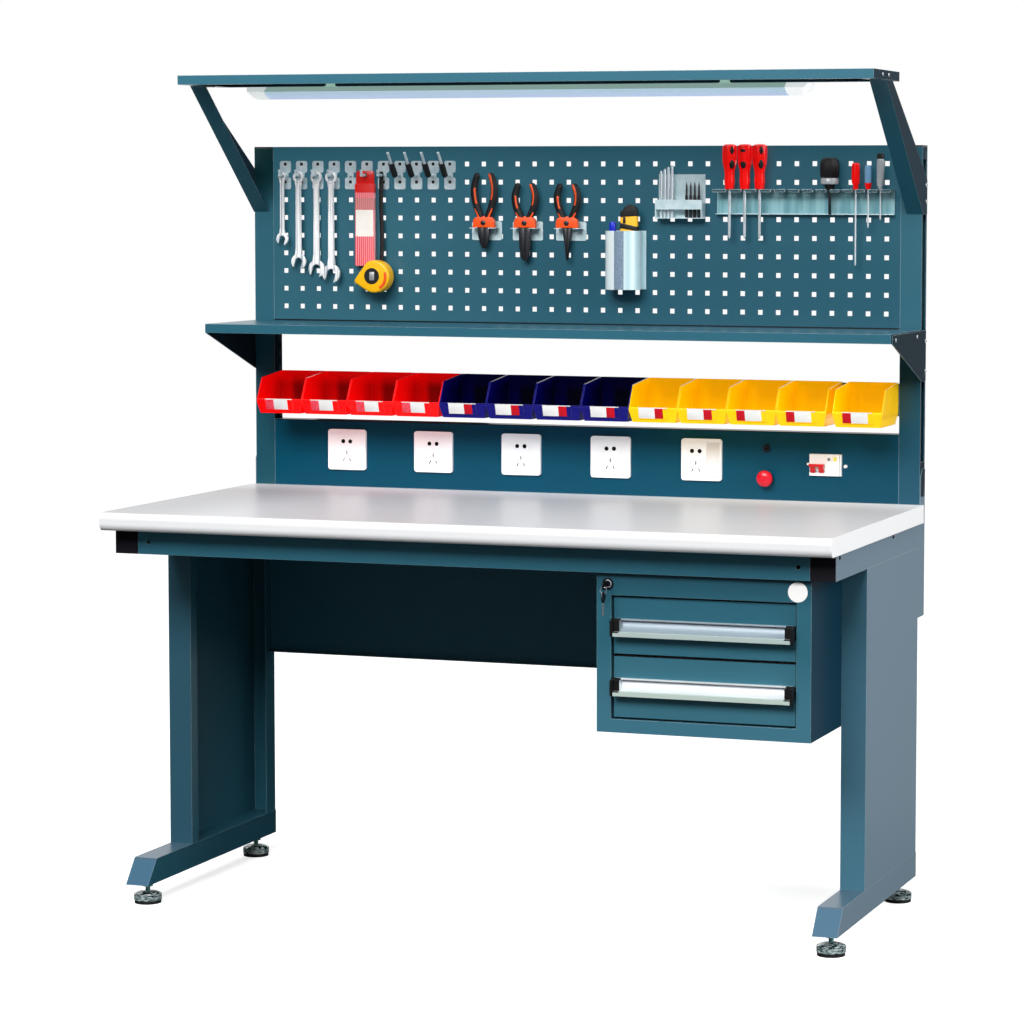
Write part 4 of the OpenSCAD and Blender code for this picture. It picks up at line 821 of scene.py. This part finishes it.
def wrenches():
    """Four combination wrenches: ring, fluted shank and open jaw."""
    shape = Shape("wrenches_on_panel")
    chrome = wrench_material()
    kinds = ((0, 136, 9, 14, 22), (1, 183, 12, 17, 22), (2, 198, 13, 19, 13), (3, 208, 13, 20.5, 22))
    for i, length, ring, jaw, out in kinds:
        hole = ring * 0.6
        x = COLUMN_X + i * PITCH
        z = HANG_Z + 3.3 - hole
        y = POST_Y - out
        profile = ((0, ring - 0.8), (0.8, ring), (6.2, ring), (7, ring - 0.8), (7, hole + 0.5), (6.4, hole),
                   (0.6, hole), (0, hole + 0.5))
        shape.loft([circle(x, y + dy, z, r, 36) for dy, r in profile], chrome, closed=True)
        wide, narrow = ring * 0.62, ring * 0.46
        top, low = z - ring * 0.85, z - length + jaw * 0.7
        steps = [(top, wide, 3.2), (top - ring, narrow, 2.6), (low + jaw, narrow * 1.12, 2.6),
                 (low, wide * 1.15, 3.2)]
        fluted = (
            (-1, -1), (-0.55, -1.12), (-0.45, -0.72), (0.45, -0.72), (0.55, -1.12), (1, -1), (1, 1), (-1, 1))
        shape.loft([[(x + w * u, y + 3.5 + t * v, h) for u, v in fluted] for h, w, t in steps], chrome)
        turn = math.radians(-15)
        slot = jaw * 0.5
        lip = jaw * math.cos(math.asin(0.5))
        outline = arc(0, 0, jaw, -60, 240, 30) + [(-slot, -lip + 2)] + arc(0, 0, slot, 180, 0, 12) + [
            (slot, -lip + 2)]
        head = [
            (x + u * math.cos(turn) - v * math.sin(turn),
            z - length + u * math.sin(turn) + v * math.cos(turn)) for u, v in outline]
        shape.prism(head, "y", y + 0.2, 6.6, chrome, 0.9, 2)
    shape.done("bench", "tool_chrome", ["wrenches"])


def notch_x(i):
    """Middle of a notch in the driver rack; the notches stand closer together towards the right."""
    return NOTCH_X + NOTCH_PITCH * i - NOTCH_CLOSING * i * i


def driver(shape, i, parts):
    """A driver in one notch of the rack, from turned parts: rise over the rack, profile, finish, sides,
    flutes."""
    for rise, profile, paint, sides, *flutes in parts:
        shape.turned((notch_x(i), DRIVER_Y, DRIVER_Z + rise), "z", profile, paint, sides, *flutes)


def slim_shaft(length):
    return -length, [(0, 0), (0, 1.2), (4, 1.8), (length + 1, 1.8)], CHROME, 14


def screwdrivers():
    """Three red drivers with black grip pads, a stubby one, and three slim ones."""
    shape = Shape("screwdrivers_in_rack")
    grip = [
        (0, 0), (0, 8.5), (1, 9.6), (8, 10), (16, 11.2), (30, 10.2), (40, 11.5), (55, 15), (70, 15.8),
        (84, 15.6), (90, 14.2), (92.6, 10), (93, 0)]
    for i, turn in enumerate((-50, -90, -62)):
        driver(shape, i, [(0, grip, GRIP_RED, 48, 6, 0.1, (36, 88))])
        for height, tall in ((79, 12.5), (52, 11)):
            pad = [(-tall, 0), (-tall * 0.75, 4.2), (0, 6.9), (tall * 0.75, 4.6), (tall, 0)]
            for angle in (turn, turn + 180):
                a = math.radians(angle)
                cx, cy = notch_x(i) + 9.6 * math.cos(a), DRIVER_Y + 9.6 * math.sin(a)
                shape.turned((cx, cy, DRIVER_Z + height), "z", pad, GRIP_BLACK, 20)
        driver(
            shape, i, [(-102, [(0, 0), (0, 1.2), (6, 2.9), (103, 3)], CHROME, 20),
            (-102.4, [(0, 0), (0, 1.0), (9, 3.05), (9, 0)], TOOL_STEEL, 12)])
    driver(
        shape, 7, [(0, [(0, 0), (0, 9), (6, 10), (10, 12)], GRIP_BLACK, 36),
        (10, [(0, 0), (0, 17), (1.5, 18.4), (11, 18.8), (13, 17.4), (13, 0)], CLEAR_GREY, 40),
        (23, [(0, 0), (0, 16), (3, 19.5), (22, 20.6), (34, 19.4), (40, 15), (42, 8), (42.6, 0)], GRIP_BLACK,
        48, 8, 0.1, (2, 36)), (-52, [(0, 0), (0, 2), (3, 3.1), (53, 3.1)], TOOL_STEEL, 16)])
    driver(
        shape, 9, [(0, [(0, 0), (0, 5.6), (8, 5.2), (13, 8), (17, 8.8), (46, 8.8), (52, 7.6), (54, 5),
        (54, 0)], GRIP_RED, 36, 6, 0.12, (16, 47)), slim_shaft(156)])
    driver(shape, 10, [
        (0, [(0, 0), (0, 4.4), (4, 5.2), (10, 6.8), (13, 7.2), (13, 0)], GRIP_RED, 24),
        (13, [(0, 0), (0, 6.4), (4, 7.4), (32, 7.8), (36, 6.5), (37, 0)], SKY, 36, 6, 0.14, (3, 33)),
        slim_shaft(78)])
    driver(
        shape, 11, [(0, [(0, 0), (0, 4), (5, 5), (9, 7.6), (10, 7.6)], CHROME, 24),
        (10, [(0, 0), (0, 7), (6, 8), (46, 8.2), (52, 7.2), (53, 0)], CLEAR_GREY, 24),
        (62.6, [(0, 0), (0, 7.6), (8, 8), (10.5, 6.5), (11, 0)], GRIP_BLACK, 24), slim_shaft(62)])
    shape.done("bench", "red_plastic", ["screwdrivers"])


def small_tools():
    """Rod pack, strap, tape measure, folding knife and marker in the cup, and the bits in their holder."""
    shape = Shape("small_tools_on_panel")
    x = COLUMN_X + 5 * PITCH
    pack = rod_pack_material()
    shape.prism(
        rounded(x - 22.5, HANG_Z - 195.5, x + 22.5, HANG_Z - 18, 3), "y", POST_Y - 16, 12, pack, 1.2, 3)
    tab = rounded(x - 21, HANG_Z - 22, x + 21, HANG_Z + 9.5, 6)
    shape.prism(tab, "y", POST_Y - 12, 2.4, pack, 0.6, 2)
    # Painted shade: a dark disc for the hang hole in the pack's tab.
    shape.turned((x, POST_Y - 12.6, HANG_Z), "y", [(0, 0), (0, 4.6), (0.6, 4.6), (0.6, 0)], DARK, 24)
    x = COLUMN_X + 6 * PITCH
    run = curve(
        [(x, POST_Y - 12, HANG_Z + 8), (x - 1.5, POST_Y - 12, HANG_Z - 60),
        (x + 1, POST_Y - 12, HANG_Z - 140), (x - 1, POST_Y - 13, HANG_Z - 196)], 8)
    shape.tube(run, [3] + [5] * (len(run) - 2) + [4], GRIP_BLACK, 12, 0.36)
    shape.turned(
        (x - 1, POST_Y - 18.4, HANG_Z - 195), "y", [(0, 0), (0, 3.4), (4, 3.4), (4, 0)], TOOL_STEEL, 18)
    tx, tz = x - 3, HANG_Z - 217
    body = arc(tx, tz, 35, 118, -104, 26) + [
        (tx - 19, tz - 30), (tx - 44, tz - 14), (tx - 47, tz - 10), (tx - 33, tz + 10)]
    shape.prism(body, "y", POST_Y - 52, 34, TAPE_YELLOW, 5, 4)
    shape.prism(arc(tx, tz, 31, 20, -60, 10) + arc(tx, tz, 25, -60, 20, 10), "y", POST_Y - 53.2, 4,
                GRIP_ORANGE, 0.8, 2)
    shape.turned((tx - 4, POST_Y - 53, tz + 1), "y", [(0, 0), (0, 16.5), (0.8, 17.4), (3, 17.4), (3, 0)],
                 GRIP_BLACK, 32)
    shape.prism(rounded(tx - 9, tz - 8, tx + 2, tz + 10, 2), "y", POST_Y - 53.6, 1, BOLT_ZINC, 0.3, 2)
    shape.prism(
        [(tx - 49, tz - 17), (tx - 43, tz - 19), (tx - 41, tz - 14), (tx - 47, tz - 10)], "y", POST_Y - 42,
        14, BOLT_ZINC, 0.5, 2)
    kx, kz = CUP_X + 14, HANG_Z - 239
    handle = rounded(kx - 18.5, kz + 2, kx + 18.5, kz + 156, 5)
    shape.prism(handle, "y", POST_Y - 38, 12, TAPE_YELLOW, 2.4, 3)
    cap = [
        (kx - 18.6, kz + 150), (kx - 18.4, kz + 164)] + arc(kx + 3, kz + 162, 16, 165, 15,
        10) + [(kx + 18.6, kz + 156), (kx + 18.6, kz + 153)]
    shape.prism(cap, "y", POST_Y - 38.3, 12.6, GRIP_BLACK, 2.2, 3)
    shape.prism(
        [(kx - 18.8, kz + 128), (kx + 18.8, kz + 122), (kx + 18.8, kz + 132), (kx - 18.8, kz + 140)], "y",
        POST_Y - 38.4, 12.8, GRIP_BLACK, 1.2, 2)
    shape.prism(rounded(kx - 12, kz + 138, kx - 6, kz + 152, 2.5), "y", POST_Y - 39.4, 3, GRIP_BLACK, 0.8, 2)
    shape.turned(
        (CUP_X - 22, POST_Y - 34, kz + 2), "z", [(0, 0), (0, 6), (1.5, 7), (118, 7), (119, 7.4), (134, 7.4),
        (139, 6), (140, 0)], BLUE, 28)
    shape.turned((CUP_X - 22, POST_Y - 34, kz + 40), "z", [(0, 0), (0, 7.15), (60, 7.15), (60, 0)], WHITE, 28)
    bx, bz = BIT_X, HANG_Z - 90 + 1.8
    for i in range(4):
        shape.turned(
            (bx - 42 + 8 * i, POST_Y - 14, bz), "z", [(0, 0), (0, 1.6), (6, 3), (92 + 4 * i, 3),
            (96 + 4 * i, 2.6), (98 + 4 * i, 0)], CHROME, 18)
        shape.turned(
            (bx + 14 + 9 * i, POST_Y - 14, bz), "z", [(0, 0), (0, 3.2), (46, 3.2), (47, 2.2), (66, 2.0),
            (72, 0.9), (76, 0)], TOOL_STEEL, 6 if i % 2 else 14)
    shape.done("bench", "tool_mixed", ["small_tools"])


def breaker_details():
    """The breaker's red two-legged lever on its white drum, its indicator, and the screws beside it."""
    shape = Shape("breaker_lever")
    axis = (531, 342, 884)
    shape.turned(axis, "x", [(-16, 0), (-16, 7.9), (16, 7.9), (16, 0)], WHITE, 32)
    leg = [(324, 893), (324, 888), (331.5, 874.6), (335, 874.6), (336.5, 880), (333, 886), (329.5, 893)]
    for x in (517.2, 535.2):
        shape.prism(leg, "x", x, 9.8, RED, 0.8, 2)
    shape.prism([(323.3, 893.5), (323.3, 888), (328.5, 888), (330, 893.5)], "x", 515, 32, RED, 0.9, 2)
    shape.done("breaker_toggle", "red_plastic", ["breaker_toggle"])
    shape = Shape("breaker_details")
    shape.turned((555.8, POST_Y - 6.9, 903), "y", [(0, 0), (0, 3.0), (0.5, 3.4), (2, 3.4), (2, 0)], GREY, 24)
    for x, z, r in ((510.2, 892, 2.6), (590.4, 889, 3.6)):
        shape.turned((x, POST_Y - 6.2, z), "y",
                     [(0, 0), (0.2, r - 1.4), (1.2, r - 0.2), (3.4, r), (6.2, r), (6.2, 0)], WHITE, 22)
    shape.done("bench", "white_plastic")


def lock_details():
    """Bright collar inside the lock's black face, and a blank round sticker on the cabinet."""
    shape = Shape("lock_collar")
    x, z = LOCK_X, LOCK_Z
    profile = ((0, 6.3), (-0.7, 6.5), (-0.7, 7.4), (0, 7.7))
    shape.loft([circle(x, -313.1 + dy, z, r, 32) for dy, r in profile], CHROME, closed=True)
    shape.done("bench", "black_steel")
    shape = Shape("round_sticker")
    shape.turned((673, -310.35, 703), "y", [(0, 0), (0, 19.1), (0.35, 19.3), (0.35, 0)], CARD, 48)
    shape.done("bench", "white_plastic")


def screw_head_tree():
    """Geometry nodes that put a domed screw head on every point, facing its normal, with a thin dark hexagon
    on top as painted shade for its hex socket."""
    tree = bpy.data.node_groups.new("screw_heads", "GeometryNodeTree")
    face = tree.interface
    face.new_socket("Points", in_out="INPUT", socket_type="NodeSocketGeometry")
    for name, value in (("Head radius", 0.0045), ("Head height", 0.0024), ("Recess radius", 0.0019)):
        face.new_socket(name, in_out="INPUT", socket_type="NodeSocketFloat").default_value = value
    face.new_socket("Finish", in_out="INPUT", socket_type="NodeSocketMaterial")
    face.new_socket("Heads", in_out="OUTPUT", socket_type="NodeSocketGeometry")

    def node(kind, settings=None, links=None):
        outputs = put_node(tree, kind, settings, links).outputs
        return outputs[0] if len(outputs) else None

    given = tree.nodes.new("NodeGroupInput").outputs
    dome = node(
        "GeometryNodeMeshUVSphere", links={"Segments": 20, "Rings": 10, "Radius": given["Head radius"]})
    flat = node("ShaderNodeMath", {"operation": "DIVIDE"}, {0: given["Head height"], 1: given["Head radius"]})
    size = node("ShaderNodeCombineXYZ", links={0: 1.0, 1: 1.0, 2: flat})
    head = node("GeometryNodeTransform", links={"Geometry": dome, "Scale": size})
    head = node("GeometryNodeSetMaterial", links={"Geometry": head, "Material": given["Finish"]})
    # Painted shade: a thin dark hexagon on the dome stands in for a hex socket.
    recess_shade = node(
        "GeometryNodeMeshCylinder", links={"Vertices": 6, "Radius": given["Recess radius"], "Depth": 0.0006})
    lift = node("ShaderNodeCombineXYZ", links={0: 0.0, 1: 0.0, 2: given["Head height"]})
    recess_shade = node("GeometryNodeTransform", links={"Geometry": recess_shade, "Translation": lift})
    recess_shade = node("GeometryNodeSetMaterial", links={"Geometry": recess_shade, "Material": DARK})
    join = tree.nodes.new("GeometryNodeJoinGeometry")
    for solid in (head, recess_shade):
        tree.links.new(solid, join.inputs[0])
    facing = node("GeometryNodeInputNamedAttribute", {"data_type": "FLOAT_VECTOR"}, {"Name": "facing"})
    turn = node("FunctionNodeAlignRotationToVector", {"axis": "Z"}, {"Vector": facing})
    heads = node(
        "GeometryNodeInstanceOnPoints", links={"Points": given["Points"], "Instance": join.outputs[0],
        "Rotation": turn})
    real = node("GeometryNodeRealizeInstances", links={"Geometry": heads})
    smooth = node("GeometryNodeSetShadeSmooth", links={"Geometry": real})
    node("NodeGroupOutput", links={"Heads": smooth})
    return tree


def screws(tree, name, radius, places, paint, body="bench"):
    """Screw heads of one radius at points in millimetres, each with the direction that it faces."""
    mesh = bpy.data.meshes.new(name + "_points")
    mesh.from_pydata([tuple(c * MM for c in point) for point, _ in places], [], [])
    facing = mesh.attributes.new("facing", "FLOAT_VECTOR", "POINT")
    facing.data.foreach_set("vector", [c for _, way in places for c in way])
    holder = bpy.data.objects.new(name + "_points", mesh)
    bpy.context.scene.collection.objects.link(holder)
    modifier = holder.modifiers.new("heads", "NODES")
    modifier.node_group = tree
    sockets = {item.name: item.identifier for item in tree.interface.items_tree if item.in_out == "INPUT"}
    modifier[sockets["Head radius"]] = radius * MM
    modifier[sockets["Head height"]] = radius * 0.5 * MM
    modifier[sockets["Recess radius"]] = radius * 0.45 * MM
    modifier[sockets["Finish"]] = paint
    made = bpy.data.meshes.new_from_object(holder.evaluated_get(bpy.context.evaluated_depsgraph_get()))
    bpy.data.objects.remove(holder)
    piece = bpy.data.objects.new(name, made)
    bpy.context.scene.collection.objects.link(piece)
    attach(piece, body)


def all_screws():
    """Screws of the upper frame, darker ones in the side rails, and small ones at both ends of the bin
    rail."""
    tree = screw_head_tree()
    frame_places = []
    rail_places = []
    for s in (-1, 1):
        out = (s, 0, 0)
        for y, z in ((364, 1436), (364, 1470), (368, 1088), (368, 1150), (120, 1161.5), (297, 1161.5)):
            frame_places.append(((s * 750, y, z), out))
        frame_places += [((s * 743, y, 1684), out) for y in (27, 75)]
        rail_places += [((s * 750, y, 770), out) for y in (-296, 112)]
    screws(tree, "frame_screws", 4.2, frame_places, BOLT_ZINC)
    screws(tree, "side_rail_screws", 4.2, rail_places, BLACK)
    small = [((x, POST_Y, z), (0, -1, 0)) for x in (-695, 695) for z in (1000, 1045)]
    screws(tree, "bin_rail_screws", 3.0, small, BOLT_ZINC)


def aim(obj, target):
    obj.rotation_mode = "QUATERNION"
    obj.rotation_quaternion = (Vector(target) - obj.location).to_track_quat("-Z", "Y")


def soft_light(name, place, target, size, power, color=(1, 1, 1)):
    lamp = bpy.data.lights.new(name, "AREA")
    lamp.shape = "RECTANGLE"
    lamp.size, lamp.size_y = size
    lamp.energy = power
    lamp.color = color
    obj = bpy.data.objects.new(name, lamp)
    bpy.context.scene.collection.objects.link(obj)
    obj.location = place
    aim(obj, target)


def studio():
    """White surround, a floor that keeps the bench's shadow, and three soft lights. Light on the paint
    comes from above; shiny surfaces see a white backdrop behind the bench and a dark room in front of
    it."""
    world = bpy.data.worlds.new("white_studio")
    bpy.context.scene.world = world
    world.use_nodes = True
    tree = world.node_tree
    tree.nodes.clear()

    def add(kind, settings=None, links=None):
        return put_node(tree, kind, settings, links).outputs

    def between(value, low, high, at_low, at_high):
        return add("ShaderNodeMapRange", {"interpolation_type": "SMOOTHSTEP"},
                   {0: value, 1: low, 2: high, 3: at_low, 4: at_high})[0]

    way = add("ShaderNodeSeparateXYZ", {}, {0: add("ShaderNodeTexCoord")["Generated"]})
    path = add("ShaderNodeLightPath")
    soft = between(way["Z"], 0.02, 0.45, 0.02, SKY_LIGHT)
    shine = between(way["Y"], -0.25, 0.2, DARK_ROOM, BACKDROP)
    strength = add("ShaderNodeMix", {"data_type": "FLOAT"}, {0: path["Is Glossy Ray"], 2: soft, 3: shine})[0]
    strength = add(
        "ShaderNodeMix", {"data_type": "FLOAT"}, {0: path["Is Camera Ray"], 2: strength, 3: 1.0})[0]
    strength = add(
        "ShaderNodeMix", {"data_type": "FLOAT"}, {0: path["Is Transmission Ray"], 2: strength, 3: 1.0})[0]
    light = add("ShaderNodeBackground", {}, {0: (1, 1, 1, 1), 1: strength})
    add("ShaderNodeOutputWorld", {}, {0: light[0]})

    mesh = bpy.data.meshes.new("studio_floor")
    mesh.from_pydata([(-14, -14, 0), (14, -14, 0), (14, 14, 0), (-14, 14, 0)], [], [(0, 1, 2, 3)])
    floor = bpy.data.objects.new("studio_floor", mesh)
    bpy.context.scene.collection.objects.link(floor)
    p = Paint("studio_floor_white")
    seen = p.add("ShaderNodeLightPath", output="Is Camera Ray")
    shiny = p.add("ShaderNodeLightPath", output="Is Glossy Ray")
    matt = p.add("ShaderNodeBsdfDiffuse", {}, {0: (0.15, 0.15, 0.15, 1)})
    pale = p.add("ShaderNodeBsdfDiffuse", {}, {0: (0.82, 0.82, 0.82, 1)})
    glow = p.add("ShaderNodeEmission", {}, {0: (1, 1, 1, 1), 1: 0.62})
    far = p.add("ShaderNodeEmission", {}, {0: (1, 1, 1, 1), 1: p.y.ramp(0.5, 1.6) * BACKDROP})
    both = p.add("ShaderNodeAddShader", {}, {0: pale, 1: glow})
    dull = p.add("ShaderNodeMixShader", {}, {0: shiny, 1: matt, 2: far})
    p.add(
        "ShaderNodeOutputMaterial", {}, {"Surface": p.add("ShaderNodeMixShader", {},
        {0: seen, 1: dull, 2: both})})
    mesh.materials.append(p.material)

    mesh = bpy.data.meshes.new("black_flag")
    mesh.from_pydata(
        [(-0.72, 0.6, 0), (-0.3, 0.6, 0), (-0.3, 0.6, 1.6), (-0.72, 0.6, 1.6)], [], [(0, 1, 2, 3)])
    flag = bpy.data.objects.new("black_flag", mesh)
    bpy.context.scene.collection.objects.link(flag)
    flag.visible_camera = flag.visible_diffuse = flag.visible_shadow = flag.visible_transmission = False
    mesh.materials.append(DARK)

    soft_light("key_light", (0.0, -6.0, 4.9), (0, 0, 1.0), (5.0, 2.6), 540)
    soft_light("right_light", (6.0, -1.0, 2.8), (0.4, 0, 0.8), (2.5, 3.5), 225)
    soft_light("top_light", (0.2, -1.6, 5.0), (0, 0, 0.8), (4.0, 3.0), 30)


def camera():
    """The photograph's viewpoint: a long lens, a little to the right of the bench and just above its top."""
    yaw, pitch, roll = (math.radians(a) for a in (-18.73, -4.53, 0.12))
    ahead = Vector((math.sin(yaw) * math.cos(pitch), math.cos(yaw) * math.cos(pitch), math.sin(pitch)))
    level = Vector((math.cos(yaw), -math.sin(yaw), 0))
    rise = level.cross(ahead)
    right = level * math.cos(roll) + rise * math.sin(roll)
    up = rise * math.cos(roll) - level * math.sin(roll)
    data = bpy.data.cameras.new("view")
    data.sensor_width = 36
    data.lens = 117.62
    data.shift_x = -0.1132
    data.shift_y = -0.0513
    obj = bpy.data.objects.new("view", data)
    bpy.context.scene.collection.objects.link(obj)
    turn = Matrix((right, up, -ahead)).transposed().to_4x4()
    obj.matrix_world = Matrix.Translation((2.3798, -6.3418, 1.4495)) @ turn
    bpy.context.scene.camera = obj


dress_cad_nodes()
bin_cards()
pliers()
wrenches()
screwdrivers()
small_tools()
breaker_details()
lock_details()
all_screws()
studio()
camera()
bpy.context.scene.view_settings.view_transform = "Standard"
